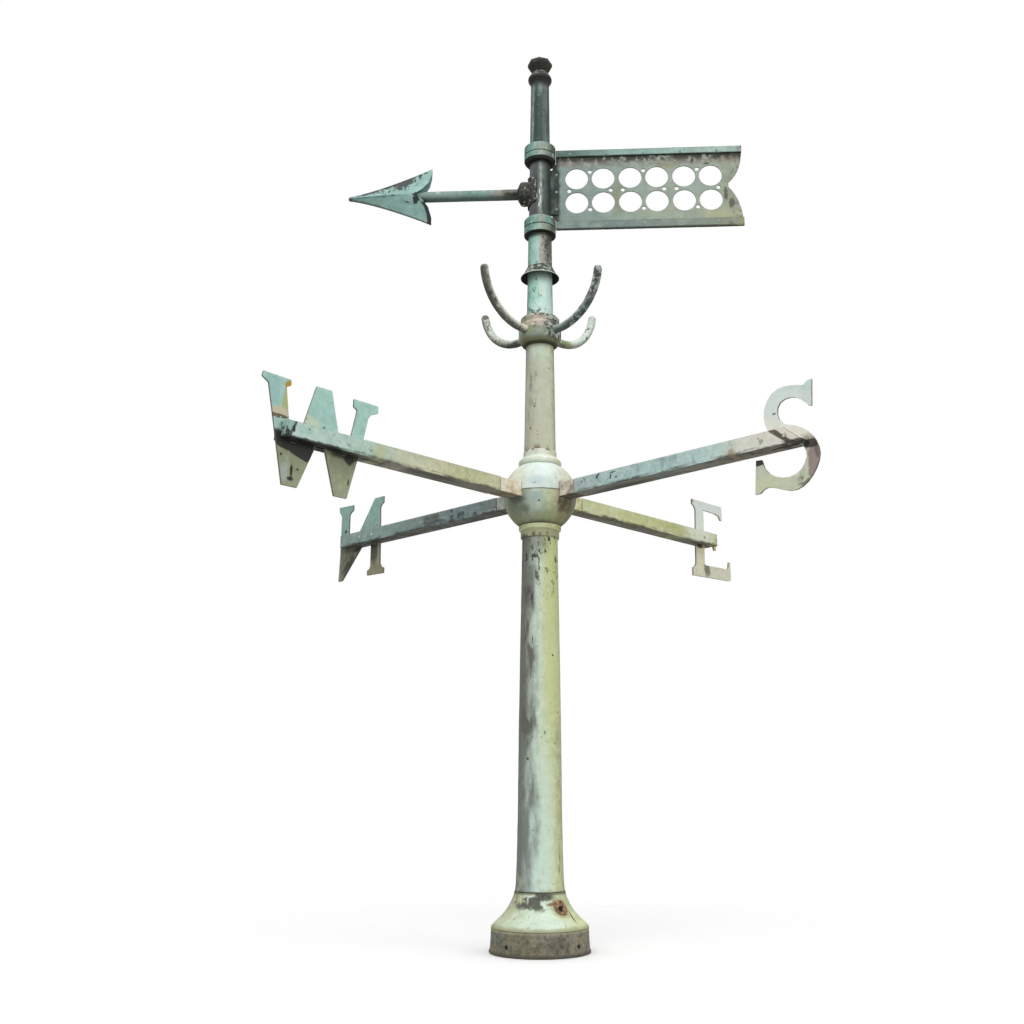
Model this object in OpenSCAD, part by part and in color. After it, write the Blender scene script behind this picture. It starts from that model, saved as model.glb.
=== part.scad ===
// Roof weather vane: a turned hollow column on a bell base, four compass arms with pierced-through
// letter plates on a ball, a collar with four upswept rods, and a free-turning arrow and flag on top.
// Frame: origin on the column's axis at the underside of the base, +X east, +Y north, +Z up.

/* [Base] */
// Radius of the bore that slips over the post
socket_r = 121; // [116:0.5:122]
// Outer radius of the base band at its top
band_r = 126; // [125:0.5:127]
// Outer radius of the lip at the foot of the band
lip_r = 131; // [130:0.5:134]
// Height of the base band
band_h = 60; // [50:1:60]
// Height of the band's fixing screws
screw_z = 24; // [18:1:30]
// Turn of the four fixing screws away from the compass points
screw_turn = 3; // [0:1:45]
// Bearing of the round repair patch on the flare, anticlockwise from east
patch_bearing = 264; // [0:1:359]
// Radius of the repair patch
patch_r = 21; // [15:0.5:23]

/* [Column] */
// Wall of the column tubes
tube_wall = 4; // [3:0.5:4]
// Height of the seam between the flare and the lower column
seam_z = 148; // [146:1:155]
// Radius of the lower column where it leaves the flare
column_foot_r = 64; // [63:0.5:65]
// Radius of the lower column at its top
column_top_r = 50; // [49.5:0.5:50]
// Radius of the upper column at its foot
upper_foot_r = 45; // [44.5:0.5:45]
// Radius of the upper column at its top
upper_top_r = 41; // [40.5:0.5:41]

/* [Ball and arms] */
// Height of the ball's centre and of the arms
ball_z = 1197; // [1196:0.5:1198]
// Outer radius of the ball
ball_r = 102.5; // [101:0.5:103]
// Width of an arm
arm_w = 52; // [48:1:54]
// Height of an arm
arm_h = 40; // [36:1:42]
// Wall of an arm
arm_wall = 4; // [3:0.5:5]
// Distance from the axis to the joint between root socket and arm
socket_end = 150; // [140:1:160]
// The same distance on the west arm, whose root socket is longer
west_socket_end = 180; // [170:1:190]
// Reach of the east arm
east_reach = 818; // [800:1:830]
// Reach of the north arm
north_reach = 890; // [870:1:900]
// Reach of the west arm
west_reach = 848; // [840:1:860]
// Reach of the south arm, at the top of its slanted end
south_reach = 800; // [790:1:805]

/* [Letters] */
// Thickness of the letter plates
letter_t = 6; // [4:0.5:8]
// Height of the letters
letter_h = 255; // [240:1:260]

/* [Hook collar] */
// Largest radius of the collar
collar_r = 62.5; // [61:0.5:64]
// Height of the rods where they leave the collar
rod_z = 1683; // [1681:0.5:1685]
// Radius of the rods
rod_r = 12.5; // [11:0.5:13]
// Height of the south and west rods' tips
front_tip_z = 1826; // [1820:1:1830]
// Height of the north and east rods' tips
back_tip_z = 1812; // [1806:1:1816]
// Reach of the south and west rods
front_reach = 225; // [220:1:230]
// Reach of the north and east rods
back_reach = 235; // [230:1:240]
// Bend radius of the south and west rods
front_bend = 150; // [140:1:155]
// Bend radius of the north and east rods
back_bend = 150; // [140:1:155]

/* [Stem] */
// Radius of the stem at the hook collar
stem_foot_r = 38.5; // [38:0.5:38.5]
// Radius of the stem at the bearing
stem_top_r = 35; // [34.5:0.5:35.5]
// Radius of the drip skirt's rim
skirt_r = 57; // [54:0.5:60]
// Height of the drip skirt's rim
skirt_z = 1858; // [1854:1:1862]

/* [Bearing] */
// Radius of the bearing rings
ring_r = 47.5; // [46:0.5:48]
// Radius of the fixed spindle
spindle_r = 16; // [14:0.5:17]
// Radial running clearance between spindle and bushes
run_gap = 0.05; // [0.02:0.01:0.09]
// Radius of the thrust ball
thrust_r = 8; // [7:0.5:9]

/* [Vane] */
// Resting bearing of the arrow, anticlockwise from east
vane_bearing = 130.7; // [0:0.1:359.9]
// Radius of the vane's sleeve at its foot
sleeve_foot_r = 33.5; // [33:0.5:34]
// Radius of the vane's sleeve at its top
sleeve_top_r = 31; // [30.8:0.1:31.2]
// Radius of the top tube at its foot
tube_foot_r = 30.5; // [30:0.1:30.5]
// Radius of the top tube at its head
tube_head_r = 28.2; // [27:0.1:29]
// Distance from the axis to the finial's eight corners
finial_r = 39; // [37:0.5:40]
// Height of the finial's top
top_z = 2600; // [2594:1:2606]

/* [Arrow] */
// Height of the arrow's axis
arrow_z = 2135; // [2130:0.5:2142]
// Radius of the arrow's shaft
shaft_r = 16.5; // [14:0.5:17]
// Distance from the axis to the arrow's tip
tip_reach = 580; // [570:1:590]
// Distance from the axis to the barbs
barb_reach = 326; // [320:1:332]
// Half of the head's height at the barbs
barb_h = 94; // [90:1:98]
// Half of the head's thickness at its ridge
ridge_t = 23; // [22:0.5:26]

/* [Flag] */
// Distance from the axis to the flag's far edge
flag_reach = 603; // [595:1:610]
// Height of the flag's lower edge
flag_foot_z = 2016; // [2014:0.5:2018]
// Height of the flag's upper edge
flag_head_z = 2275; // [2270:0.5:2276]
// Thickness of the flag plate
flag_t = 4; // [3:0.5:5]
// Distance from the axis to the bottom of the swallow-tail notch
notch_reach = 562; // [555:1:570]
// Distance from a rosette's centre to its petals' centres
petal_d = 56; // [54:0.5:58]
// Radius of a petal
petal_r = 34; // [30:0.5:35]

/* [Hidden] */
$fn = 72;

fit = 0.1;            // gap between nested pieces of one body
east = 0;             // bearings of the arms and rods
north = 90;
west = 180;
south = 270;

// Heights of the joints up the column
neck_z = 1106;        // top of the lower column
collar_foot_z = 1291; // foot of the upper column
upper_top_z = 1660;   // top of the upper column, inside the hook collar
stem_foot_z = 1664;   // foot of the lower stem, inside the hook collar
stem_joint_z = 1876;  // joint of the two stems, under the drip skirt
stem_top_z = 1994;
bearing_z = 2017;     // top of the fixed bearing ring
turn_gap = 0.5;       // gap between the fixed and the turning ring
lower_ring_top = 2047;
clamp_z = 2232;       // foot of the upper rings
cap_z = 2257;         // joint of the two upper rings
sleeve_top_z = 2292;
tube_top_z = 2500;
neck_top_z = 2545;    // top of the ring under the finial
spindle_foot_z = 1905;
spindle_top_z = 2262;
sleeve_bore_r = 25;
ring_spigot_r = 29.2; // spigot of the fixed bearing ring, inside the upper stem

// The inner casting reaches from the lower column through the ball into the upper column
hub_foot_z = 1040;
hub_top_z = 1350;
hub_bore_r = 36;
hub_arm_end = 230;    // how far its spigots reach into the arms

// Letter outlines are drawn from the foot of the letter, with the arm's root on the left
letter_foot_z = ball_z - letter_h / 2;

// Profiles as [radius, height] pairs, from the foot upwards
flare_outline = [[band_r, band_h], [band_r, band_h + 3], [band_r - 8, band_h + 12],
    [band_r - 25, band_h + 27], [band_r - 38, band_h + 42], [band_r - 49, band_h + 59],
    [band_r - 57, seam_z - 11], [column_foot_r + 2.5, seam_z]];
column_outline = [[column_foot_r + 2, seam_z], [column_foot_r - 0.5, seam_z + 17],
    [column_foot_r - 3, seam_z + 80], [59, 325], [57, 582], [52.5, 906],
    [column_top_r, 1057], [column_top_r, neck_z]];
upper_outline = [[upper_foot_r, collar_foot_z], [upper_foot_r, 1345], [upper_top_r, 1627],
    [upper_top_r, upper_top_z]];
lower_stem_outline = [[stem_foot_r, stem_foot_z], [stem_foot_r, 1755], [36.6, 1850], [36.6, stem_joint_z]];
upper_stem_outline = [[36.6, stem_joint_z], [36.6, 1886], [36, 1900], [stem_top_r, stem_top_z]];
sleeve_outline = [[sleeve_foot_r, bearing_z + turn_gap + 0.5], [sleeve_foot_r, lower_ring_top],
    [sleeve_top_r, clamp_z], [30.5, clamp_z + 1], [30.5, sleeve_top_z]];

// Points of an ellipse arc, from one angle to another
function arc(centre, rx, rz, from, to, steps = 12) =
    [for (i = [0:steps]) let (a = from + (to - from) * i / steps) centre + [rx * cos(a), rz * sin(a)]];

function reversed(points) = [for (i = [len(points) - 1:-1:0]) points[i]];
function inset(points, wall) = [for (p = points) [p[0] - wall, p[1]]];

module turned(points) rotate_extrude() polygon(points);
module tube(outline, wall) turned(concat(outline, reversed(inset(outline, wall))));
module ring(outer_r, inner_r, foot_z, height)
    translate([0, 0, foot_z]) difference() {
        cylinder(r = outer_r, h = height);
        translate([0, 0, -1]) cylinder(r = inner_r, h = height + 2);
    }
// A rod along +X from one distance to another
module bar_x(from, to, r, z) translate([from, 0, z]) rotate([0, 90, 0]) cylinder(r = r, h = to - from);
// A box along +X, centred across and in height
module box_x(from, to, width, height, z) translate([from, -width / 2, z - height / 2])
    cube([to - from, width, height]);
// A plate upright in the XZ plane, centred on it
module upright(thickness) rotate([90, 0, 0]) linear_extrude(height = thickness, center = true) children();

// ---- base ----
module base_band() color("#6b695c") difference() {
    turned([[socket_r, 0], [lip_r, 0], [lip_r, 5], [band_r + 3, 9], [band_r + 2, 12],
        [band_r, band_h], [socket_r, band_h]]);
    for (i = [0:3]) rotate([0, 0, screw_turn + 90 * i]) bar_x(socket_r - 5, lip_r + 5, 3, screw_z);
}
module base_screws() color("#2b2a26") for (i = [0:3]) rotate([0, 0, screw_turn + 90 * i]) {
    bar_x(socket_r + 0.2, band_r + 1.8, 2.9, screw_z);
    translate([band_r + 1.8, 0, screw_z]) rotate([0, 90, 0]) cylinder(r1 = 5.2, r2 = 3.6, h = 2.6);
}
module base_flare() color("#c4d6c2") difference() {
    union() {
        tube(flare_outline, tube_wall);
        ring(band_r - tube_wall + 1, 100, band_h, 4);
    }
    on_flare() translate([0, 0, -20]) cylinder(r = 3, h = 40);
}
// The middle of the patch, with +Z out of the flare's slope
module on_flare() rotate([0, 0, patch_bearing]) translate([band_r - 45.5, 0, 112]) rotate([0, 58, 0])
    children();
module flare_patch() color("#7d5f45") difference() {
    intersection() {
        turned(concat(inset(flare_outline, -fit), reversed(inset(flare_outline, -1.6))));
        on_flare() translate([0, 0, -30]) cylinder(r = patch_r, h = 60);
    }
    on_flare() translate([0, 0, -30]) cylinder(r = 3, h = 60);
}
module patch_screw() color("#1f1c18") on_flare() {
    translate([0, 0, -6]) cylinder(r = 2.9, h = 10);
    translate([0, 0, 4]) cylinder(r1 = 5, r2 = 3.4, h = 2.4);
}

// ---- column and ball ----
module lower_column() color("#c5d3bd") tube(column_outline, tube_wall);
module neck_ring() color("#c9d1a4") turned([[column_top_r + fit, 1076], [53, 1076], [54, 1079],
    [54, 1096], [58.5, 1099], [59.5, 1105], [58.5, 1111], [column_top_r + fit, 1105.5]]);
// Half of the hollow ball between two heights, with windows for the four root sockets
module ball_shell(foot_z, head_z, opening_r) difference() {
    translate([0, 0, ball_z]) sphere(r = ball_r);
    translate([0, 0, ball_z]) sphere(r = ball_r - tube_wall);
    translate([0, 0, foot_z - 200]) cylinder(r = 150, h = 200);
    translate([0, 0, head_z]) cylinder(r = 150, h = 200);
    translate([0, 0, ball_z - 150]) cylinder(r = opening_r, h = 300);
    for (bearing = [0:90:270]) rotate([0, 0, bearing])
        box_x(60, 120, arm_w + 2 * fit, arm_h + 2 * fit, ball_z);
}
module ball_lower() color("#9fb0a4") ball_shell(ball_z - ball_r, ball_z - fit, column_top_r + 1);
module ball_upper() color("#d5e3dc") ball_shell(ball_z + fit, ball_z + ball_r, upper_foot_r + 1);
// Inner casting that joins both columns and carries the arms on four square spigots
module hub_cross() color("#8a6a3c") difference() {
    union() {
        translate([0, 0, hub_foot_z])
            cylinder(r = column_top_r - tube_wall - fit, h = collar_foot_z - 1 - hub_foot_z);
        translate([0, 0, collar_foot_z - 1])
            cylinder(r = upper_top_r - 0.4, h = hub_top_z - collar_foot_z + 1);
        for (bearing = [0:90:270]) rotate([0, 0, bearing])
            box_x(20, hub_arm_end, arm_w - 2 * arm_wall - 2 * fit, arm_h - 2 * arm_wall - 2 * fit, ball_z);
    }
    translate([0, 0, hub_foot_z - 1]) cylinder(r = hub_bore_r, h = hub_top_z - hub_foot_z + 2);
}
module ball_collar() color("#e3e4cf") turned([[upper_foot_r + fit, 1291.5], [56.5, 1283], [60, 1286],
    [61, 1291], [60, 1297], [56, 1302], [49.5, 1306], [47.5, 1310], [47.5, 1326],
    [upper_foot_r + fit, 1327]]);
module upper_column() color("#c5cfb0") tube(upper_outline, tube_wall);

// ---- arms ----
// The rectangular section of an arm, hollow from end to end
module arm_section(from, to) difference() {
    box_x(from, to, arm_w, arm_h, ball_z);
    box_x(from - 1, to + 1, arm_w - 2 * arm_wall, arm_h - 2 * arm_wall, ball_z);
}
// Root socket: the same section as the arm, cut to the ball's inside
module root_socket(bearing, end = socket_end) rotate([0, 0, bearing]) difference() {
    arm_section(70, end - 0.3);
    translate([0, 0, ball_z]) sphere(r = ball_r - tube_wall - 1);
}
// An arm slotted from above and below for its letter plate
module arm(bearing, reach, letter_start, root = socket_end) rotate([0, 0, bearing]) difference() {
    arm_section(root + 0.3, reach);
    box_x(letter_start - 6, reach + 60, letter_t + 2 * fit, arm_h + 10, ball_z);
    rivet_holes(letter_start);
}
// The two halves of an arm's end cap, on either side of the letter plate
module arm_cap(bearing, reach) rotate([0, 0, bearing]) difference() {
    box_x(reach + fit, reach + 3, arm_w, arm_h, ball_z);
    box_x(reach - 10, reach + 10, letter_t + 2 * fit, arm_h + 10, ball_z);
}
// Distances of the rivets from the start of the letter
rivet_steps = [36, 100];
module rivet_holes(start) for (step = rivet_steps)
    translate([start + step, arm_w, ball_z]) rotate([90, 0, 0]) cylinder(r = 3, h = 2 * arm_w);
module arm_rivets(bearing, start) rotate([0, 0, bearing]) for (step = rivet_steps)
    translate([start + step, 0, ball_z]) rotate([90, 0, 0]) {
        cylinder(r = 2.9, h = arm_w, center = true);
        for (side = [-1, 1]) scale([1, 1, side]) translate([0, 0, arm_w / 2])
            cylinder(r1 = 5.5, r2 = 4, h = 2.2);
    }
// The slanted end of the south arm leans outwards by this much from top to bottom
south_slant = 50;
module south_end(from, to) upright(arm_w + 20) polygon([[from, ball_z + arm_h / 2], [to, ball_z + arm_h / 2],
    [to + south_slant, ball_z - arm_h / 2], [from + south_slant, ball_z - arm_h / 2]]);

east_start = 714;
north_start = 690;
west_start = 578;
south_start = 703;
module socket_east() color("#d8d6bd") root_socket(east);
module socket_north() color("#8d948c") root_socket(north);
module socket_west() color("#dcd8c0") root_socket(west, west_socket_end);
module socket_south() color("#e0dac8") root_socket(south);
module arm_east() color("#c2cc93") arm(east, east_reach, east_start);
module arm_north() color("#8fa39a") arm(north, north_reach, north_start);
module arm_west() color("#a9c9b9") arm(west, west_reach, west_start, west_socket_end);
module arm_south() color("#d0ddd0") intersection() {
    arm(south, south_reach + south_slant + 5, south_start);
    rotate([0, 0, south]) south_end(0, south_reach);
}
module cap_east() color("#b9bd96") arm_cap(east, east_reach);
module cap_north() color("#8a938a") arm_cap(north, north_reach);
module cap_west() color("#8fb3a6") arm_cap(west, west_reach);
module cap_south() color("#5b5648") rotate([0, 0, south]) intersection() {
    difference() {
        box_x(socket_end, south_reach + south_slant + 10, arm_w, arm_h, ball_z);
        box_x(socket_end - 1, south_reach + 100, letter_t + 2 * fit, arm_h + 10, ball_z);
    }
    south_end(south_reach + fit, south_reach + 4);
}

// ---- letters, as [distance from the axis, height] outlines ----
drawn_foot_z = 1070;  // lowest point of the outlines
drawn_h = 255;        // their height
module letter_plate(bearing, points) rotate([0, 0, bearing]) difference() {
    translate([0, 0, letter_foot_z]) upright(letter_t)
        scale([1, letter_h / drawn_h]) translate([0, -drawn_foot_z]) polygon(points);
    rivet_holes(min([for (p = points) p[0]]));
}
e_outline = [[719, 1309], [719, 1325], [885, 1325], [886, 1278], [878, 1278], [868, 1291], [845, 1296],
    [780, 1297], [780, 1209], [828, 1209], [836, 1219], [845, 1219], [845, 1169], [836, 1169],
    [828, 1186], [780, 1186], [779, 1116], [785, 1112], [905, 1115], [914, 1121], [917, 1140], [926, 1140],
    [926, 1080], [918, 1076], [east_start, 1070], [east_start, 1096], [725, 1101], [732, 1112],
    [737, 1290], [731, 1302]];
n_outline = [[700, 1304], [700, 1325], [745, 1325], [818, 1228], [852, 1182], [880, 1182], [880, 1290],
    [873, 1298], [861, 1303], [861, 1322], [938, 1325], [934, 1306], [922, 1292], [922, 1150], [927, 1070],
    [908, 1070], [815, 1165], [758, 1225], [758, 1100], [764, 1091], [774, 1088], [774, 1072],
    [north_start, 1070], [north_start, 1088], [703, 1093], [710, 1104], [716, 1290], [710, 1299]];
w_outline = [[west_start, 1301], [west_start, 1320], [652, 1321], [652, 1301], [641, 1295], [668, 1172],
    [681, 1172], [717, 1325], [760, 1325], [808, 1172], [824, 1172], [842, 1301], [830, 1308], [830, 1322],
    [905, 1325], [908, 1312], [890, 1301], [862, 1165], [842, 1070], [801, 1070], [741, 1212],
    [699, 1070], [662, 1070], [619, 1228], [607, 1282], [598, 1293]];
// The S, clockwise from the end of its upper bowl
s_outline = [[864, 1261], [868, 1325], [859, 1325], [850, 1320], [845, 1316], [836, 1318], [815, 1323],
    [796, 1325], [777, 1323], [760, 1315], [746, 1299], [738, 1280], [736, 1260], [739, 1241], [746, 1225],
    [757, 1211], [771, 1201], [800, 1189], [817, 1182], [830, 1175], [838, 1167], [843, 1157], [844, 1144],
    [839, 1131], [829, 1117], [815, 1108], [797, 1104], [778, 1106], [760, 1112], [744, 1122], [732, 1137],
    [725, 1159], [709, 1160], [south_start, 1078], [717, 1078], [727, 1086], [738, 1089], [753, 1086],
    [776, 1077], [795, 1071], [813, 1070], [829, 1075], [843, 1084], [856, 1097], [868, 1114], [875, 1130],
    [878, 1145], [876, 1161], [870, 1177], [862, 1190], [850, 1203], [835, 1215], [818, 1224], [799, 1230],
    [786, 1236], [777, 1247], [773, 1262], [775, 1276], [782, 1287], [795, 1293], [811, 1293], [824, 1290],
    [836, 1283], [849, 1271], [856, 1263]];
module letter_east() color("#dfe3d6") letter_plate(east, e_outline);
module letter_north() color("#8fa79c") letter_plate(north, n_outline);
module letter_west() color("#9fc4b5") letter_plate(west, w_outline);
module letter_south() color("#dfe6dd") letter_plate(south, s_outline);
module letter_rivets() color("#6f7a6c") {
    arm_rivets(east, east_start);
    arm_rivets(north, north_start);
    arm_rivets(west, west_start);
    arm_rivets(south, south_start);
}

// ---- hook collar and its four upswept rods ----
module hook_collar() color("#a7ab98") difference() {
    turned([[upper_top_r + fit, 1641], [44, 1641], [52, 1648], [60, 1660], [collar_r, 1670], [collar_r, 1692],
        [60, 1703], [54, 1712], [57, 1722], [57, 1728], [54, 1731], [stem_foot_r + fit, 1731],
        [stem_foot_r + fit, 1662], [upper_top_r + fit, 1662]]);
    for (bearing = [0:90:270]) rotate([0, 0, bearing]) bar_x(46, 70, rod_r + fit, rod_z);
}
// A rod from the collar: straight, then one bend upwards to a flattened tip
tip_h = 6;
module rod(bearing, reach, bend, tip_z) rotate([0, 0, bearing]) {
    turn_end = asin((bend - (tip_z - tip_h - rod_z)) / bend);
    bar_x(46.5, reach - bend, rod_r, rod_z);
    translate([reach - bend, 0, rod_z + bend]) rotate([90, 0, 0]) rotate([0, 0, -90])
        rotate_extrude(angle = 90 - turn_end) translate([bend, 0]) circle(r = rod_r);
    translate([reach - bend + bend * cos(turn_end), 0, rod_z + bend - bend * sin(turn_end)])
        rotate([0, turn_end, 0]) translate([0, 0, -2])
            cylinder(r1 = rod_r - 0.2, r2 = rod_r - 3.5, h = tip_h + 2);
}
module rod_east() color("#cfded3") rod(east, back_reach, back_bend, back_tip_z);
module rod_north() color("#8d9488") rod(north, back_reach, back_bend, back_tip_z);
module rod_west() color("#6f766e") rod(west, front_reach, front_bend, front_tip_z);
module rod_south() color("#4f5c56") rod(south, front_reach, front_bend, front_tip_z);

// ---- stem ----
module lower_stem() color("#a9d4c0") tube(lower_stem_outline, tube_wall);
module upper_stem() color("#9db7a8") tube(upper_stem_outline, tube_wall + 1);
module drip_skirt() color("#39403b") turned([[skirt_r, skirt_z], [skirt_r, skirt_z + 3], [50, skirt_z + 12],
    [43, skirt_z + 24], [39.5, 1889], [38.5, 1892], [36.7, 1892], [36.7, 1880], [39, 1877],
    [skirt_r - 9, skirt_z + 10], [skirt_r - 3, skirt_z]]);

// ---- fixed half of the bearing ----
spigot_foot_z = 1976;
flange_z = 1950;      // underside of the spindle's flange, clamped below the bearing ring
nut_h = 24.8;
thrust_z = spindle_top_z + thrust_r * 0.75;   // centre of the thrust ball
module bearing_ring() color("#8fa79c") turned([[spindle_r + fit, spigot_foot_z],
    [ring_spigot_r, spigot_foot_z], [ring_spigot_r, stem_top_z], [ring_r - 2, stem_top_z],
    [ring_r, stem_top_z + 2], [ring_r, bearing_z - 1], [ring_r - 1, bearing_z],
    [spindle_r + fit, bearing_z]]);
module spindle() color("#b08d57") difference() {
    union() {
        translate([0, 0, spindle_foot_z]) cylinder(r = spindle_r, h = spindle_top_z - spindle_foot_z);
        translate([0, 0, flange_z]) cylinder(r = ring_spigot_r, h = spigot_foot_z - flange_z - fit);
    }
    translate([0, 0, thrust_z]) sphere(r = thrust_r + fit);
}
module spindle_nut() color("#8a7a55") translate([0, 0, flange_z - nut_h - 0.2]) difference() {
    cylinder(r = 27, h = nut_h, $fn = 6);
    translate([0, 0, -1]) cylinder(r = spindle_r + fit, h = nut_h + 2);
}
module thrust_ball() color("#c9ccd0") translate([0, 0, thrust_z]) sphere(r = thrust_r);

// ---- turning half of the bearing and the vane's tube ----
module vane_sleeve() color("#5a5f5a") difference() {
    turned(concat(sleeve_outline, [[sleeve_bore_r, sleeve_top_z],
        [sleeve_bore_r, bearing_z + turn_gap + 0.5]]));
}
module lower_ring() color("#7fae9f") turned([[sleeve_foot_r + fit, bearing_z + turn_gap],
    [ring_r - 1, bearing_z + turn_gap], [ring_r, bearing_z + turn_gap + 1], [ring_r, lower_ring_top - 5],
    [ring_r - 5, lower_ring_top], [sleeve_foot_r + fit, lower_ring_top]]);
module clamp_ring() color("#6f9a8c") turned([[sleeve_top_r + 0.3, clamp_z], [ring_r - 6, clamp_z],
    [ring_r, clamp_z + 8], [ring_r, cap_z - 1], [ring_r - 1, cap_z - fit], [30.6, cap_z - fit],
    [30.6, clamp_z + 3], [sleeve_top_r + 0.3, clamp_z + 2]]);
module cap_ring() color("#7fae9f") turned([[30.6, cap_z], [ring_r - 1, cap_z], [ring_r, cap_z + 1],
    [ring_r, 2283], [ring_r - 1, 2284.5], [32, 2294], [30.6, 2294.5]]);
// A bush in the sleeve, running on the spindle
module bush(foot_z, height) ring(sleeve_bore_r - fit, spindle_r + run_gap, foot_z, height);
module lower_bush() color("#b5a642") bush(2022, 40);
module upper_bush() color("#b5a642") bush(2205, 35);
module thrust_cup() color("#b5a642") difference() {
    translate([0, 0, spindle_top_z + 12]) cylinder(r = sleeve_bore_r - fit, h = 16);
    translate([0, 0, thrust_z + fit]) sphere(r = thrust_r + fit);
}
module top_tube() color("#6f7f78") tube([[tube_foot_r, sleeve_top_z + fit], [tube_head_r, tube_top_z]], 3);
module top_ring() color("#3a3d37") turned([[13, tube_top_z], [tube_head_r, tube_top_z],
    [tube_head_r + 0.6, 2504], [31.5, 2509], [36.4, 2517], [37, 2521], [36.4, 2526], [25, neck_top_z],
    [13, neck_top_z]]);
// The finial's knob has eight sides that meet in corners, one of them in line with the arrow
module finial() color("#2e2c26") on_vane() {
    translate([0, 0, tube_top_z + 6]) cylinder(r = 12.8, h = 60);
    rotate_extrude($fn = 8) polygon([[0, neck_top_z + fit], [25, neck_top_z + fit], [finial_r - 2, 2565],
        [finial_r, 2570], [finial_r, 2577], [finial_r - 3, 2582], [14, top_z - 3], [8, top_z], [0, top_z]]);
}

// ---- arrow, drawn along +X and turned to the vane's bearing ----
module on_vane() rotate([0, 0, vane_bearing]) children();
// The sleeve's tapered outside, with the gap to what is brazed on it
module sleeve_space() translate([0, 0, lower_ring_top])
    cylinder(r1 = sleeve_foot_r + fit, r2 = sleeve_top_r + fit, h = clamp_z - lower_ring_top);
boss_end = 68;
saddle_r = 39;        // outside of the saddle that wraps round the sleeve
module arrow_boss() color("#4a463d") on_vane() difference() {
    union() {
        translate([0, 0, arrow_z]) rotate([0, 90, 0]) rotate_extrude() polygon([[0, 24], [36, 24], [39, 36],
            [40, 50], [36, 60], [26, 65], [shaft_r + 3, boss_end], [0, boss_end]]);
        intersection() {
            translate([0, 0, arrow_z - 52]) cylinder(r = saddle_r, h = 104);
            bar_x(8, saddle_r + 10, 52, arrow_z);
        }
    }
    sleeve_space();
    bar_x(shaft_start - fit, boss_end + 10, shaft_r + fit, arrow_z);
}
shaft_start = 40;
shaft_end = 396;
module arrow_shaft() color("#7fa79a") on_vane() bar_x(shaft_start, shaft_end, shaft_r, arrow_z);
// Distance from the axis to the rear end of the head's ridge
ridge_reach = 375;
head_wall = 2;
nose_h = 7.5;         // half of the head's height just behind its rounded tip
// A quarter of the head's outline from ridge to edge: height, thickness and how far back it stays at the rear
quarter = [[0, 1, 1], [0.2, 0.82, 0.5], [0.45, 0.58, 0.17], [0.72, 0.3, 0.03], [1, 0, 0]];
// Those quarters mirrored into one ring of points at a station between the tip (0) and the rear (1)
function head_ring(s, inner) = let (
        w = inner * head_wall,
        t = max(ridge_t * pow(s, 0.7) + (s == 0 ? 1.5 : 2.5) - w, 0.4),
        h = max((barb_h - nose_h) * pow(s, 1.32) + (s == 0 ? nose_h - 3 : nose_h) - 2 * w, 0.6),
        length = tip_reach - barb_reach,
        side = function (q, y, z) [tip_reach - (length - q[2] * (ridge_reach - barb_reach)) * s
            - 4 * w * (1 - s), y * q[1] * t, z * q[0] * h])
    [for (k = [0:3]) side(quarter[k], -1, 1), for (k = [4:-1:1]) side(quarter[k], 1, 1),
     for (k = [0:3]) side(quarter[k], 1, -1), for (k = [4:-1:1]) side(quarter[k], -1, -1)];
stations = [0, 0.02, 0.07, 0.14, 0.25, 0.375, 0.5, 0.625, 0.75, 0.875, 1];
head_steps = len(stations) - 1;
head_sides = 16;
module arrow_head() color("#8cbcae") on_vane() translate([0, 0, arrow_z]) polyhedron(
    points = concat([for (i = [0:head_steps]) each head_ring(stations[i], 0)],
        [for (i = [0:head_steps]) each head_ring(stations[i], 1)]),
    faces = let (n = head_sides, rings = head_steps + 1, inner = n * rings) concat(
        [[for (k = [0:n - 1]) k], [for (k = [n - 1:-1:0]) inner + k]],
        [for (i = [0:head_steps - 1], k = [0:n - 1]) each quad(i * n + k, i * n + (k + 1) % n,
            (i + 1) * n + (k + 1) % n, (i + 1) * n + k)],
        [for (i = [0:head_steps - 1], k = [0:n - 1]) each quad(inner + i * n + (k + 1) % n, inner + i * n + k,
            inner + (i + 1) * n + k, inner + (i + 1) * n + (k + 1) % n)],
        [for (k = [0:n - 1]) each quad(head_steps * n + (k + 1) % n, inner + head_steps * n + (k + 1) % n,
            inner + head_steps * n + k, head_steps * n + k)]));
function quad(a, b, c, d) = [[a, d, c], [a, c, b]];

// ---- flag, drawn along +X and turned opposite to the arrow ----
module on_flag() rotate([0, 0, vane_bearing + 180]) children();
web_t = 2;                    // thickness of a channel's web, over the plate's edge
top_channel_w = 14;
top_channel_h = 21;
foot_channel_w = 9;
foot_channel_h = 25;
cleat_end = 56;
flag_root = ring_r + 0.5;     // clear of the bearing rings
plate_root = sleeve_foot_r + 4;
plate_top = flag_head_z - web_t;
plate_foot = flag_foot_z + web_t;
flag_mid_z = 2142;
rosette_x = [150, 310, 470];
rivet_x = [90, 200, 310, 420, 530];
module rosette() {
    for (a = [45:90:315]) rotate(a) translate([petal_d, 0]) circle(r = petal_r);
    for (a = [0:90:270]) rotate(a) translate([62, 0]) circle(r = 6);
}
module flag_outline() polygon(concat([[plate_root, lower_ring_top + 0.4], [flag_root, lower_ring_top + 0.4],
    [flag_root, plate_foot]],
    arc([flag_reach - 98, plate_foot], 98, 152, 0, 54, 10),
    [[notch_reach, 2143], [notch_reach, 2156]],
    arc([flag_reach - 83, 2256], 83, 115, -60, 0, 10),
    [[flag_reach, plate_top], [flag_root, plate_top], [flag_root, clamp_z - 0.4],
        [plate_root, clamp_z - 0.4]]));
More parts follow.
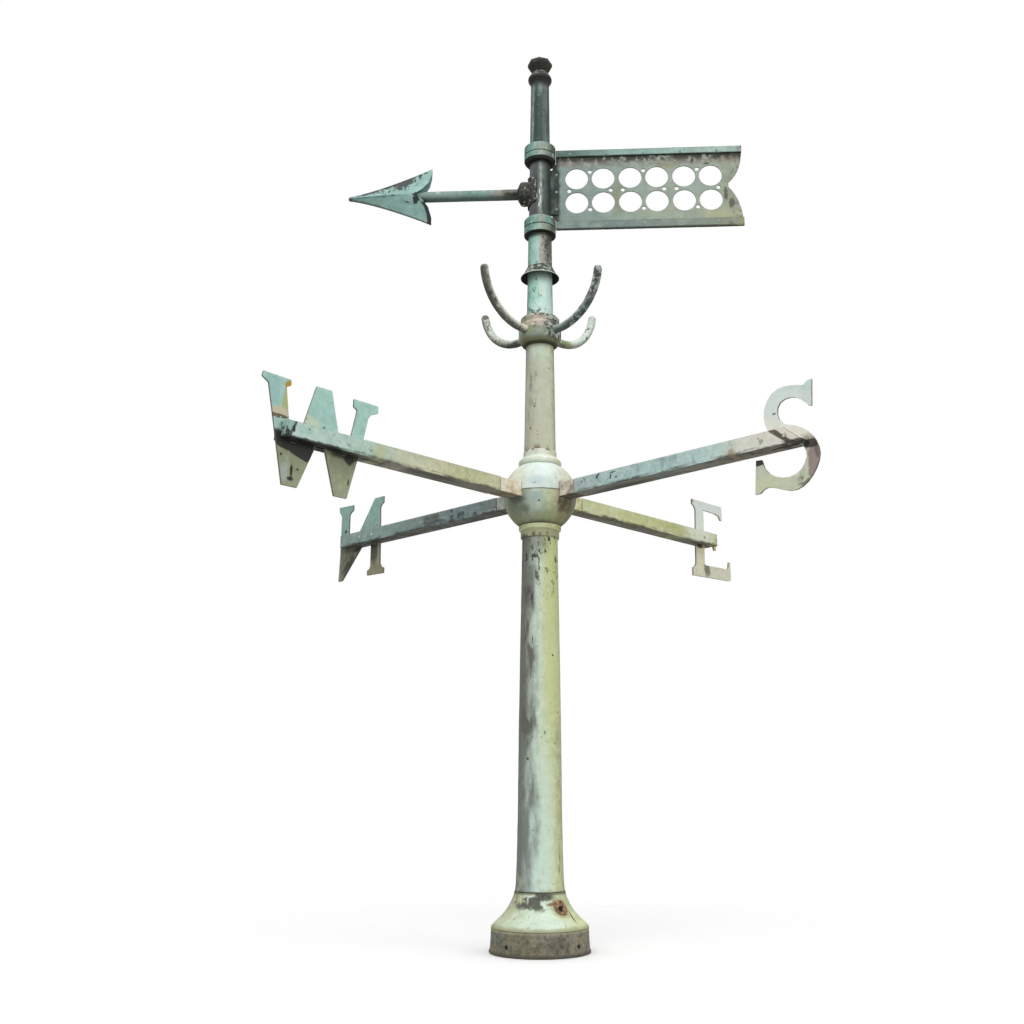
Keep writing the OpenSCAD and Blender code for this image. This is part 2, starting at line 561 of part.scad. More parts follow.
module flag_plate() color("#8fa39a") on_flag() difference() {
    upright(flag_t) difference() {
        flag_outline();
        for (x = rosette_x) translate([x, flag_mid_z]) rosette();
    }
    flag_rivet_holes();
}
// A folded channel over an edge of the plate, its web at edge_z and its legs reaching up (1) or down (-1)
module channel(width, height, edge_z, legs) translate([0, 0, edge_z]) scale([1, 1, legs]) difference() {
    translate([flag_root, -width / 2, 0]) cube([flag_reach + 1 - flag_root, width, height]);
    translate([flag_root - 1, -flag_t / 2 - fit, web_t - fit])
        cube([flag_reach - flag_root + 3, flag_t + 2 * fit, height]);
}
module flag_top_channel() color("#9fbcb0") on_flag() difference() {
    channel(top_channel_w, top_channel_h, flag_head_z, -1);
    flag_rivet_holes();
}
module flag_foot_channel() color("#7f8f87") on_flag() difference() {
    channel(foot_channel_w, foot_channel_h, flag_foot_z, 1);
    flag_rivet_holes();
}
module flag_cleat() color("#6f7a72") on_flag() difference() {
    translate([20, -6, 2064]) cube([cleat_end - 20, 12, 146]);
    sleeve_space();
    translate([plate_root - fit, -flag_t / 2 - fit, 2000]) cube([60, flag_t + 2 * fit, 300]);
    flag_rivet_holes();
}
// Rivets as [distance from the axis, height, half length]
rivets = concat([for (z = [2080, 2137, 2194]) [50, z, 6]],
    [for (x = rivet_x) [x, flag_head_z - 13, top_channel_w / 2]],
    [for (x = rivet_x) [x, flag_foot_z + 13, foot_channel_w / 2]]);
module flag_rivet_holes() for (r = rivets) translate([r[0], 20, r[1]]) rotate([90, 0, 0])
    cylinder(r = 2.1, h = 40);
module flag_rivets() color("#5d6b64") on_flag() for (r = rivets) translate([r[0], 0, r[1]])
    rotate([90, 0, 0]) {
    cylinder(r = 2, h = 2 * r[2], center = true);
    for (side = [-1, 1]) scale([1, 1, side]) translate([0, 0, r[2]]) cylinder(r1 = 4, r2 = 2.8, h = 1.6);
}

// ---- every piece in its place ----
base_band();
base_screws();
base_flare();
flare_patch();
patch_screw();
lower_column();
neck_ring();
ball_lower();
ball_upper();
hub_cross();
ball_collar();
socket_east();
socket_north();
socket_west();
socket_south();
arm_east();
arm_north();
arm_west();
arm_south();
cap_east();
cap_north();
cap_west();
cap_south();
letter_east();
letter_north();
letter_west();
letter_south();
letter_rivets();
upper_column();
hook_collar();
rod_east();
rod_north();
rod_west();
rod_south();
lower_stem();
drip_skirt();
upper_stem();
bearing_ring();
spindle();
spindle_nut();
thrust_ball();
vane_sleeve();
lower_ring();
clamp_ring();
cap_ring();
lower_bush();
upper_bush();
thrust_cup();
top_tube();
top_ring();
finial();
arrow_boss();
arrow_shaft();
arrow_head();
flag_plate();
flag_top_channel();
flag_foot_channel();
flag_cleat();
flag_rivets();
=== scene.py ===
import math

import bmesh
import bpy
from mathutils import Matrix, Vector, noise


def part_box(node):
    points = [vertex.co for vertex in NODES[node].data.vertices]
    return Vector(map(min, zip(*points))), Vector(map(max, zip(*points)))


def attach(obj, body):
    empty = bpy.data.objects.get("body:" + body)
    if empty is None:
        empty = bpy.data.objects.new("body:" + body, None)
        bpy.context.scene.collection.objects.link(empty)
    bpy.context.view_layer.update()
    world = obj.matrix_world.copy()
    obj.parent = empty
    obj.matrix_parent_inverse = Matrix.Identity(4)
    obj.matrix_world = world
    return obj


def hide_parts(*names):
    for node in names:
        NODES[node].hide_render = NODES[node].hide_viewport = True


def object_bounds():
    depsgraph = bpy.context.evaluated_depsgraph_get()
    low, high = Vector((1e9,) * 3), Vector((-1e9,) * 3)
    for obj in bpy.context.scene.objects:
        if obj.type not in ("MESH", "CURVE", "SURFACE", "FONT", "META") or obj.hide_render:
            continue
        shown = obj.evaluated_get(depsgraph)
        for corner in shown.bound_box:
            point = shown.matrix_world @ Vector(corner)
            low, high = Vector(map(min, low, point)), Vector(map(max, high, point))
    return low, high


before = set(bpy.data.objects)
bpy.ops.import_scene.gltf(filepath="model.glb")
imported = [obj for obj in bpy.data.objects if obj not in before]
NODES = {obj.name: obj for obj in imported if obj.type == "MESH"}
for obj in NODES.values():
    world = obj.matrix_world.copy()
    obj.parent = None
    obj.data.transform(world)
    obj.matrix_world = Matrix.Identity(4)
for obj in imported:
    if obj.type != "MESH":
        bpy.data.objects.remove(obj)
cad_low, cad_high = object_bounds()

# The row frame: +X east, +Y north, +Z up, origin on the column's axis at the underside of the base.
COLUMN, VANE = "column", "vane"
MM = 0.001


# ---------------------------------------------------------------- mesh helpers
def low(node):
    return Vector(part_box(node)[0])


def high(node):
    return Vector(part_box(node)[1])


def new_object(name, mesh):
    obj = bpy.data.objects.new(name, mesh)
    bpy.context.scene.collection.objects.link(obj)
    return obj


def mesh_of(bm, name):
    mesh = bpy.data.meshes.new(name)
    bm.to_mesh(mesh)
    bm.free()
    return mesh


def finish_piece(obj, nodes, material, body):
    """The piece stands for its CAD nodes, rides on their body and takes the material it is given."""
    obj.data.materials.clear()
    obj.data.materials.append(material)
    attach(obj, body)
    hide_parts(*nodes)
    return obj


def smooth_by_angle(mesh, degrees):
    """Smooth shading with hard edges where two faces meet more sharply than this."""
    mesh.shade_smooth()
    bm = bmesh.new()
    bm.from_mesh(mesh)
    for edge in bm.edges:
        edge.smooth = not (edge.is_manifold and edge.calc_face_angle(0) > math.radians(degrees))
    bm.to_mesh(mesh)
    bm.free()


def cad_bmesh(node):
    """A welded copy of a CAD node's mesh."""
    bm = bmesh.new()
    bm.from_mesh(NODES[node].data)
    bmesh.ops.remove_doubles(bm, verts=bm.verts, dist=1e-6)
    return bm


# Shares of long dents, cast unevenness and fine pitting in a surface's wear
WORN, LUMPY = (0.55, 0.30, 0.15), (0.15, 0.50, 0.35)


def weathered(point, amount, seed, shares):
    """How far the surface has sunk at a point, from 0 to amount."""
    p = point + Vector((seed * 1.7, seed * 0.9, seed * 2.3))
    waves = (noise.noise(p * 9.0), noise.noise(p * 38.0), noise.noise(p * 170.0))
    return amount * (0.5 + 0.5 * sum(share * wave for share, wave in zip(shares, waves)))


def sink(mesh, amount, seed, shares=WORN):
    """Moves each point inwards along its normal, so the piece stays inside its CAD shape."""
    moves = [v.normal * weathered(v.co, amount, seed, shares) for v in mesh.vertices]
    for v, move in zip(mesh.vertices, moves):
        v.co -= move
    mesh.update()


# ---------------------------------------------------------------- turned pieces
# Turned nodes are cut for their outline here, between the compass bearings
CUT_BEARING = math.radians(45)


def section(node):
    """The closed outline, as (radius, height) points, where a half plane cuts a turned node."""
    bm = cad_bmesh(node)
    out = Vector((math.cos(CUT_BEARING), math.sin(CUT_BEARING), 0))
    across = Vector((-out.y, out.x, 0))
    cut = bmesh.ops.bisect_plane(bm, geom=bm.verts[:] + bm.edges[:] + bm.faces[:],
                                 plane_co=(0, 0, 0), plane_no=across, dist=1e-7)["geom_cut"]
    links = {}
    for edge in (g for g in cut if isinstance(g, bmesh.types.BMEdge)):
        ends = [(round(v.co.dot(out), 6), round(v.co.z, 6)) for v in edge.verts]
        if min(e[0] for e in ends) > -1e-6 and ends[0] != ends[1]:
            links.setdefault(ends[0], set()).add(ends[1])
            links.setdefault(ends[1], set()).add(ends[0])
    bm.free()
    loops = []
    while links:
        here = min(links)
        loop = [here]
        while True:
            onward = links.pop(here, set()) - set(loop[-2:])
            step = [p for p in onward if p in links]
            if not step:
                break
            here = step[0]
            loop.append(here)
        loops.append(loop)
    return simplified(max(loops, key=len_of_loop))


def len_of_loop(loop):
    return sum(math.dist(a, b) for a, b in zip(loop, loop[1:] + loop[:1]))


def simplified(loop):
    """The loop without the points that lie on a straight run."""
    kept = []
    n = len(loop)
    for i, p in enumerate(loop):
        a, b = loop[i - 1], loop[(i + 1) % n]
        cross = (p[0] - a[0]) * (b[1] - p[1]) - (p[1] - a[1]) * (b[0] - p[0])
        if abs(cross) > 2e-9 or math.dist(a, b) < 1e-6:
            kept.append(p)
    return kept


def rounded(loop, radius):
    """The loop with its corners turned into arcs of about this radius."""
    points = []
    n = len(loop)
    for i in range(n):
        p, a, b = Vector(loop[i]), Vector(loop[i - 1]), Vector(loop[(i + 1) % n])
        to_a, to_b = a - p, b - p
        turn = math.pi - to_a.angle(to_b, math.pi)
        on_axis = p.x < 1e-5
        if turn < math.radians(14) or on_axis:
            points.append(p)
            continue
        reach = min(radius * math.tan(turn / 2), 0.45 * to_a.length, 0.45 * to_b.length)
        start, end = p + to_a.normalized() * reach, p + to_b.normalized() * reach
        steps = 4
        for k in range(steps + 1):
            t = k / steps
            points.append((1 - t) ** 2 * start + 2 * t * (1 - t) * p + t * t * end)
    return points


def resampled(points, step):
    """The closed line with extra points so that no run is longer than step."""
    out = []
    for a, b in zip(points, points[1:] + points[:1]):
        count = max(1, math.ceil((b - a).length / step))
        out += [a.lerp(b, k / count) for k in range(count)]
    return out


def turned(node, body, material, soft=1.5, step=6, sides=112, dent=0.8, seed=1):
    """A turned CAD node made again with soft corners and a weathered surface; lengths in millimetres."""
    line = resampled(rounded(section(node), soft * MM), step * MM)
    line = [p for i, p in enumerate(line) if (p - line[i - 1]).length > 1e-6]
    bm = bmesh.new()
    rings = []
    for p in line:
        if p.x < 1e-5:
            rings.append([bm.verts.new((0, 0, p.y))])
            continue
        rings.append([bm.verts.new((p.x * math.cos(a), p.x * math.sin(a), p.y))
                      for a in (2 * math.pi * k / sides for k in range(sides))])
    for first, second in zip(rings, rings[1:] + rings[:1]):
        for k in range(sides):
            corners = [first[k % len(first)], first[(k + 1) % len(first)],
                       second[(k + 1) % len(second)], second[k % len(second)]]
            unique = list(dict.fromkeys(corners))
            if len(unique) > 2 and not (len(first) == 1 and len(second) == 1):
                bm.faces.new(unique)
    bmesh.ops.recalc_face_normals(bm, faces=bm.faces)
    mesh = mesh_of(bm, node + "_skin")
    sink(mesh, dent * MM, seed)
    mesh.shade_smooth()
    return finish_piece(new_object(mesh.name, mesh), [node], material, body)


# ---------------------------------------------------------------- cast and sheet pieces
def remeshed(node, body, material, voxel=2.0, dent=0.6, smooth=2, seed=1, shares=WORN):
    """A CAD node skinned again with small even faces, its edges worn round; lengths in millimetres."""
    rough = new_object(node + "_rough", mesh_of(cad_bmesh(node), node + "_rough"))
    skin = rough.modifiers.new("even", "REMESH")
    skin.mode = "VOXEL"
    skin.voxel_size = voxel * MM
    graph = bpy.context.evaluated_depsgraph_get()
    fine = bpy.data.meshes.new_from_object(rough.evaluated_get(graph))
    bpy.data.objects.remove(rough)
    fine.name = node + "_skin"
    bm = bmesh.new()
    bm.from_mesh(fine)
    for _ in range(smooth):
        bmesh.ops.smooth_vert(bm, verts=bm.verts, factor=0.5, use_axis_x=True, use_axis_y=True,
                              use_axis_z=True)
    bm.to_mesh(fine)
    bm.free()
    sink(fine, dent * MM, seed, shares)
    fine.shade_smooth()
    return finish_piece(new_object(fine.name, fine), [node], material, body)


def folded(node, body, material, edge=6, bevel=0.5, dent=0.5, hard=35, seed=1, shape=None):
    """A sheet-metal CAD node with eased edges, divided finely enough to be dented; lengths in millimetres."""
    bm = cad_bmesh(node)
    bmesh.ops.dissolve_limit(bm, angle_limit=math.radians(1), verts=bm.verts, edges=bm.edges)
    sharp = [e for e in bm.edges if e.is_manifold and e.calc_face_angle(0) > math.radians(hard)]
    bmesh.ops.bevel(bm, geom=sharp, offset=bevel * MM, segments=2, profile=0.6, affect="EDGES",
                    clamp_overlap=True)
    bmesh.ops.triangulate(bm, faces=bm.faces)
    for _ in range(6):
        long_edges = [e for e in bm.edges if e.calc_length() > edge * MM]
        if not long_edges:
            break
        bmesh.ops.subdivide_edges(bm, edges=long_edges, cuts=1, use_grid_fill=False)
        bmesh.ops.triangulate(bm, faces=bm.faces)
    if shape:
        for v in bm.verts:
            v.co = shape(v.co)
    bmesh.ops.recalc_face_normals(bm, faces=bm.faces)
    mesh = mesh_of(bm, node + "_skin")
    sink(mesh, dent * MM, seed)
    smooth_by_angle(mesh, hard)
    return finish_piece(new_object(mesh.name, mesh), [node], material, body)


# ---------------------------------------------------------------- materials
def rgb(code):
    """A colour as the shader wants it, from a web colour such as #8cbcae."""
    parts = [int(code[i:i + 2], 16) / 255 for i in (1, 3, 5)]
    return [p / 12.92 if p <= 0.04045 else ((p + 0.055) / 1.055) ** 2.4 for p in parts] + [1.0]


# Sides of the object, as bearings anticlockwise from east: the front faces south-west
FRONT = math.radians(223.7)
RIGHT = FRONT + math.pi / 2


class Patina:
    """One weathered-metal material, built up in layers over a base colour."""

    def __init__(self, name, roughness=0.8, metallic=0.0, seed=0.0):
        self.material = bpy.data.materials.new(name)
        self.material.use_nodes = True
        self.tree = self.material.node_tree
        self.tree.nodes.clear()
        self.output = self.add("OutputMaterial")
        self.shader = self.add("BsdfPrincipled")
        self.shader.inputs["Metallic"].default_value = metallic
        self.shader.inputs["Specular IOR Level"].default_value = 0.35
        self.join(self.shader.outputs[0], self.output.inputs[0])
        coords = self.add("TexCoord")
        self.normal = coords.outputs["Normal"]
        moved = self.add("Mapping")
        moved.inputs["Location"].default_value = (seed * 3.1, seed * 1.3, seed * 2.2)
        self.join(coords.outputs["Object"], moved.inputs["Vector"])
        self.place, self.seeded = coords.outputs["Object"], moved.outputs[0]
        self.colour = None
        self.roughness = self.value(roughness)
        self.height = self.value(0.5)

    def add(self, kind, **settings):
        node = self.tree.nodes.new("ShaderNode" + kind)
        for key, setting in settings.items():
            setattr(node, key, setting)
        return node

    def join(self, source, target):
        self.tree.links.new(source, target)

    def feed(self, target, source):
        """A socket takes a number or colour, or is linked to another socket."""
        if isinstance(source, bpy.types.NodeSocket):
            self.join(source, target)
        else:
            target.default_value = source

    def value(self, number):
        node = self.add("Value")
        node.outputs[0].default_value = number
        return node.outputs[0]

    def math(self, operation, *terms, clamp=False):
        node = self.add("Math", operation=operation, use_clamp=clamp)
        for socket, term in zip(node.inputs, terms):
            self.feed(socket, term)
        return node.outputs[0]

    def ramp(self, source, start, end):
        """0 at start, 1 at end and smooth between them."""
        node = self.add("MapRange", interpolation_type="SMOOTHSTEP")
        self.feed(node.inputs["Value"], source)
        node.inputs["From Min"].default_value = start
        node.inputs["From Max"].default_value = end
        return node.outputs[0]

    def stretched(self, stretch):
        node = self.add("Mapping")
        node.inputs["Scale"].default_value = stretch
        self.join(self.seeded, node.inputs["Vector"])
        return node.outputs[0]

    def noise(self, scale, detail=6.0, rough=0.6, stretch=None, twist=0.0):
        node = self.add("TexNoise")
        node.inputs["Scale"].default_value = scale
        node.inputs["Detail"].default_value = detail
        node.inputs["Roughness"].default_value = rough
        node.inputs["Distortion"].default_value = twist
        self.join(self.stretched(stretch) if stretch else self.seeded, node.inputs["Vector"])
        return node.outputs["Fac"]

    def wobble(self, scale, size, **more):
        """Noise about zero, of about size from its lowest to its highest."""
        return self.math("MULTIPLY_ADD", self.noise(scale, **more), size, -size / 2)

    def cells(self, scale, stretch=None):
        node = self.add("TexVoronoi")
        node.inputs["Scale"].default_value = scale
        self.join(self.stretched(stretch) if stretch else self.seeded, node.inputs["Vector"])
        return node.outputs["Distance"]

    def patches(self, scale, start, end, **more):
        """Ragged patches: a noise cut between two levels."""
        return self.ramp(self.noise(scale, **more), start, end)

    def streaks(self, scale, start, end, length=9.0, **more):
        """Runs down the surface, about length times as long as they are wide."""
        return self.patches(scale, start, end, stretch=(1, 1, 1 / length), **more)

    def spots(self, scale, size, **more):
        """Round spots of about size, as a share of their spacing."""
        return self.ramp(self.cells(scale, **more), size, size * 0.55)

    def along(self, direction, source):
        """How far a vector reaches in a direction."""
        node = self.add("VectorMath", operation="DOT_PRODUCT")
        self.join(source, node.inputs[0])
        node.inputs[1].default_value = direction
        return node.outputs["Value"]

    def side(self, raggedness=0.25, scale=14.0):
        """From 0 on the object's left to 1 on its right, with a ragged edge between tones."""
        out = (math.cos(RIGHT), math.sin(RIGHT), 0)
        across = self.math("MULTIPLY_ADD", self.along(out, self.normal), 0.5, 0.5)
        wobble = self.wobble(scale, raggedness, stretch=(1, 1, 0.3))
        return self.math("ADD", across, wobble)

    def facing(self, direction, start, end, raggedness=0.3, scale=30.0):
        """1 where the surface faces a direction, with a ragged edge."""
        wobble = self.wobble(scale, raggedness)
        return self.ramp(self.math("ADD", self.along(direction, self.normal), wobble), start, end)

    # Facing down: the dark colours laid over this mask are dark tarnish and painted shade.
    def under(self, start=0.15, end=0.75, raggedness=0.5):
        return self.facing((0, 0, -1), start, end, raggedness)

    def over(self, start=0.3, end=0.9, raggedness=0.5):
        return self.facing((0, 0, 1), start, end, raggedness)

    def heights(self, *levels, raggedness=0.0, scale=30.0):
        """1 between two heights: 0 at the first level, 1 at the second, and so on for four levels."""
        z = self.along((0, 0, 1), self.place)
        if raggedness:
            z = self.math("ADD", z, self.wobble(scale, raggedness * 2, stretch=(1, 1, 0.4)))
        rise = self.ramp(z, levels[0], levels[1])
        if len(levels) == 2:
            return rise
        return self.math("MULTIPLY", rise, self.ramp(z, levels[3], levels[2]))

    def mark(self, centre, size, raggedness=0.6, scale=60.0, soft=0.5):
        """A ragged blot round a point, of half sizes size."""
        moved = self.add("Mapping")
        moved.inputs["Location"].default_value = [-c / s for c, s in zip(centre, size)]
        moved.inputs["Scale"].default_value = [1 / s for s in size]
        self.join(self.place, moved.inputs["Vector"])
        length = self.add("VectorMath", operation="LENGTH")
        self.join(moved.outputs[0], length.inputs[0])
        wobble = self.wobble(scale, raggedness * 2)
        return self.ramp(self.math("ADD", length.outputs["Value"], wobble), 1.0, 1.0 - soft)

    def crevice(self, distance=0.02, start=0.55, end=0.15):
        """1 deep in corners and under rims, from ambient occlusion: a dark colour laid over it is painted
        shade as well as crevice dirt.
        """
        node = self.add("AmbientOcclusion", samples=4)
        node.inputs["Distance"].default_value = distance
        return self.ramp(node.outputs["AO"], start, end)

    def both(self, *masks):
        out = masks[0]
        for mask in masks[1:]:
            out = self.math("MULTIPLY", out, mask)
        return out

    def either(self, *masks):
        out = masks[0]
        for mask in masks[1:]:
            out = self.math("MAXIMUM", out, mask)
        return out

    def tones(self, source, stops):
        """Base colours along a source, as (position, web colour) stops."""
        node = self.add("ValToRGB")
        ramp = node.color_ramp
        while len(ramp.elements) < len(stops):
            ramp.elements.new(0.5)
        for element, (position, code) in zip(ramp.elements, stops):
            element.position = position
            element.color = rgb(code)
        self.feed(node.inputs[0], source)
        self.colour = node.outputs[0]
        return self

    def layer(self, mask, code, amount=1.0, rough=None, raise_by=0.0):
        """Lays a colour over what is there, where the mask is 1."""
        if amount != 1.0:
            mask = self.math("MULTIPLY", mask, amount)
        node = self.add("Mix", data_type="RGBA", clamp_factor=True)
        self.feed(node.inputs["Factor"], mask)
        self.feed(node.inputs[6], self.colour)
        node.inputs[7].default_value = rgb(code)
        self.colour = node.outputs[2]
        if rough is not None:
            mixed = self.add("Mix", data_type="FLOAT")
            self.feed(mixed.inputs["Factor"], mask)
            self.feed(mixed.inputs[2], self.roughness)
            mixed.inputs[3].default_value = rough
            self.roughness = mixed.outputs[0]
        if raise_by:
            self.height = self.math("MULTIPLY_ADD", mask, raise_by, self.height)
        return self

    def blot(self, centre, size, raggedness, scale, code, amount=1.0, soft=0.5, **more):
        """Lays a colour over a ragged blot round a point."""
        return self.layer(self.mark(centre, size, raggedness, scale, soft), code, amount, **more)

    def flecks(self, scale, start, end, code, amount=1.0, rough=None, raise_by=0.0, **more):
        """Lays a colour over ragged patches."""
        return self.layer(self.patches(scale, start, end, **more), code, amount, rough, raise_by)

    def runs(self, scale, start, end, length, code, amount):
        """Lays a colour over runs down the surface."""
        return self.layer(self.streaks(scale, start, end, length=length), code, amount)

    def mottle(self, amount=0.12, scale=55.0):
        """Makes the colour lighter and darker by small steps."""
        node = self.add("Mix", data_type="RGBA", blend_type="OVERLAY", clamp_factor=True)
        node.inputs["Factor"].default_value = amount
        self.feed(node.inputs[6], self.colour)
        fine = self.noise(scale, detail=8.0, rough=0.7)
        contrast = self.math("MULTIPLY_ADD", self.math("SUBTRACT", fine, 0.5), 3.0, 0.5, clamp=True)
        grey = self.add("CombineColor")
        for socket in grey.inputs[:3]:
            self.join(contrast, socket)
        self.join(grey.outputs[0], node.inputs[7])
        self.colour = node.outputs[2]
        return self

    def grain(self, scale, depth):
        """Adds a fine relief."""
        self.height = self.math("MULTIPLY_ADD", self.noise(scale, detail=5.0), depth, self.height)
        return self

    def done(self, bump=0.5, distance=1.2 * MM):
        rough = self.wobble(80.0, 0.2)
        self.join(self.math("ADD", self.roughness, rough, clamp=True), self.shader.inputs["Roughness"])
        self.join(self.colour, self.shader.inputs["Base Color"])
        node = self.add("Bump")
        node.inputs["Strength"].default_value = bump
        node.inputs["Distance"].default_value = distance
        self.join(self.height, node.inputs["Height"])
        self.join(node.outputs[0], self.shader.inputs["Normal"])
        return self.material


def on_round(radius, bearing, z):
    """A point on the column's surface, from millimetres and degrees."""
    a = math.radians(bearing)
    return radius * MM * math.cos(a), radius * MM * math.sin(a), z * MM


def out_from_axis(bearing):
    a = math.radians(bearing)
    return math.cos(a), math.sin(a), 0


def base_band_patina():
    p = Patina("dark_bronze", roughness=0.72, metallic=0.15, seed=1)
    p.tones(p.side(0.5, 18), [(0.0, "#5d5f56"), (0.35, "#706c58"), (0.6, "#6d685c"), (1.0, "#74705f")])
    p.mottle(0.55, 60)
    p.flecks(16, 0.56, 0.66, "#857a4e", 0.7)
    p.flecks(22, 0.58, 0.68, "#8d8f86", 0.65, twist=1.0)
    p.flecks(30, 0.60, 0.70, "#3f3c32", 0.8)
    p.layer(p.heights(0.050, 0.0595, raggedness=0.006, scale=60), "#a3a285", 0.6)
    p.layer(p.heights(0.013, 0.004, raggedness=0.004, scale=50), "#3a382f", 0.7)
    p.layer(p.spots(90, 0.16), "#26241e", 0.9, raise_by=-0.5)
    p.flecks(120, 0.68, 0.74, "#b9b8a5", 0.6)
    p.grain(260, 0.5)
    return p.done(0.6)


def pale_patina(name, seed, tones, dark=0.5, yellow=0.5, specks=0.12):
    """The pale verdigris of the column, before its own marks."""
    p = Patina(name, roughness=0.85, seed=seed)
    p.tones(p.side(0.16, 9), tones)
    p.runs(26, 0.54, 0.70, 7, "#dce5d8", 0.35)
    p.runs(34, 0.56, 0.70, 9, "#b7bd90", yellow * 0.8)
    p.runs(60, 0.60, 0.72, 5, "#8f958a", dark)
    p.mottle(0.20, 50)
    p.layer(p.spots(55, specks), "#2e2d26", 0.9, raise_by=-0.4)
    p.flecks(95, 0.69, 0.73, "#55534a", 0.8, raise_by=-0.3)
    p.grain(220, 0.45)
    return p


def flare_patina():
    p = pale_patina("flare_patina", 2, [
        (0.0, "#8d9179"), (0.14, "#b3b795"), (0.34, "#c9d8c2"), (0.6, "#cfdfcd"), (0.8, "#c3cba0"),
        (1.0, "#a3a681")], yellow=0.55)
    soot = p.both(p.mark(on_round(72, 208, 130), (0.075, 0.075, 0.034), 0.35, 45), p.patches(40, 0.42, 0.55))
    p.layer(soot, "#4b4a41", 0.95, rough=0.6)
    p.blot(on_round(70, 232, 138), (0.03, 0.03, 0.012), 0.5, 80, "#3a382f", 0.8)
    p.layer(p.heights(0.1405, 0.1455, raggedness=0.003, scale=70), "#4d4b3c", 0.75)
    p.layer(p.heights(0.073, 0.063, raggedness=0.005, scale=40), "#8b8763", 0.75)
    p.blot(on_round(82, 264, 110), (0.034, 0.034, 0.034), 0.4, 60, "#a89a72", 0.8)
    p.blot(on_round(100, 280, 92), (0.004, 0.022, 0.030), 0.2, 60, "#35322a", 0.9, raise_by=-0.5)
    p.blot(on_round(80, 246, 122), (0.016, 0.016, 0.006), 0.6, 90, "#7b5b3a", 0.8)
    return p.done(0.55)


def patch_patina():
    p = Patina("bare_copper", roughness=0.65, metallic=0.2, seed=3)
    p.tones(p.noise(60), [(0.25, "#4d3a2a"), (0.5, "#85664a"), (0.75, "#a98f6b")])
    p.blot(on_round(84, 262, 110), (0.009, 0.012, 0.009), 0.3, 150, "#17140f", 1.0, raise_by=-1.0)
    p.flecks(110, 0.56, 0.66, "#b9b395", 0.7)
    p.mottle(0.5, 120)
    p.grain(400, 0.6)
    return p.done(0.8)


def column_patina():
    p = pale_patina("pale_patina", 4, [
        (0.0, "#666b65"), (0.14, "#7f837b"), (0.25, "#aab5a6"), (0.40, "#c3d5c6"), (0.60, "#c8d4b6"),
        (0.8, "#c0c898"), (1.0, "#a3a785")], dark=0.4)
    # lower half: bluer in the middle; upper half: yellower on the right
    p.layer(p.both(p.heights(0.62, 0.30, raggedness=0.06, scale=8), p.facing(out_from_axis(218), 0.55, 0.95)),
            "#bfd6cc", 0.6)
    p.layer(p.both(p.heights(0.45, 0.75), p.facing(out_from_axis(268), 0.72, 0.95, 0.2, 12)), "#c0c88a", 0.65)
    # the grey band down the left, with a ragged dark border
    left = p.facing(out_from_axis(150), 0.25, 0.55, 0.7, 16)
    p.layer(p.both(left, p.patches(20, 0.35, 0.6, stretch=(1, 1, 0.3))), "#6c706a", 0.85)
    border = p.both(p.facing(out_from_axis(184), 0.86, 0.97, 0.25, 18), p.heights(0.25, 0.45, 1.0, 1.06),
                    p.patches(34, 0.50, 0.62, stretch=(1, 1, 0.35)))
    p.layer(border, "#5b5d56", 0.9, rough=0.65)
    # black flaking and spots below the neck ring
    top = p.heights(0.86, 1.03, raggedness=0.05, scale=20)
    p.layer(p.both(top, p.patches(74, 0.56, 0.61, stretch=(1, 1, 0.5))), "#2f2e27", 0.95, raise_by=-0.5)
    p.layer(p.both(top, p.spots(52, 0.18, stretch=(1, 1, 0.6))), "#24231d", 1.0, raise_by=-0.5)
    p.layer(p.both(p.heights(1.0, 1.06, raggedness=0.02), p.facing(out_from_axis(200), 0.5, 0.9, 0.5)),
            "#6f6f64", 0.6)
    # single marks: long scratches and round spots
    for bearing, z, wide, high in ((199, 905, 3, 16), (201, 790, 2.5, 20), (237, 547, 3, 9),
                                   (263, 750, 4, 4.5),
                                   (284, 990, 2.5, 38), (262, 330, 2, 6), (190, 480, 5, 6), (268, 520, 3, 6),
                                   (205, 300, 5, 4), (280, 600, 3, 5), (230, 690, 2, 4), (215, 960, 3, 5)):
        radius = 50 + 14 * (1106 - z) / 958
        p.blot(on_round(radius, bearing, z), (wide * MM, wide * MM, high * MM), 0.35, 160, "#26251f", 0.95,
               raise_by=-0.7)
    # the long crack low on the right
    for bearing, z, high in ((271, 335, 26), (274, 290, 24), (279, 262, 20), (281, 235, 20), (277, 205, 18)):
        p.blot(on_round(61, bearing, z), (2.2 * MM, 2.2 * MM, high * MM), 0.2, 120, "#3c3a30", 0.9,
               raise_by=-0.8)
    p.layer(p.heights(0.153, 0.149), "#55523f", 0.8)
    p.layer(p.both(p.heights(0.23, 0.15, raggedness=0.02), p.patches(30, 0.5, 0.62)), "#a6a887", 0.6)
    return p.done(0.5)


def neck_patina():
    p = pale_patina("neck_patina", 5, [
        (0.0, "#a2a57c"), (0.25, "#c8d0a2"), (0.55, "#d3dab0"), (0.8, "#c6cd8e"), (1.0, "#a6aa78")],
        dark=0.4)
    p.layer(p.heights(1.100, 1.094, raggedness=0.003, scale=60), "#98977a", 0.75)
    p.layer(p.both(p.heights(1.092, 1.078, raggedness=0.006), p.patches(60, 0.5, 0.58)), "#33322a", 0.9)
    # painted shade in corners, with crevice dirt, from ambient occlusion
    p.layer(p.crevice(0.012), "#4a493b", 0.8)
    return p.done(0.5)


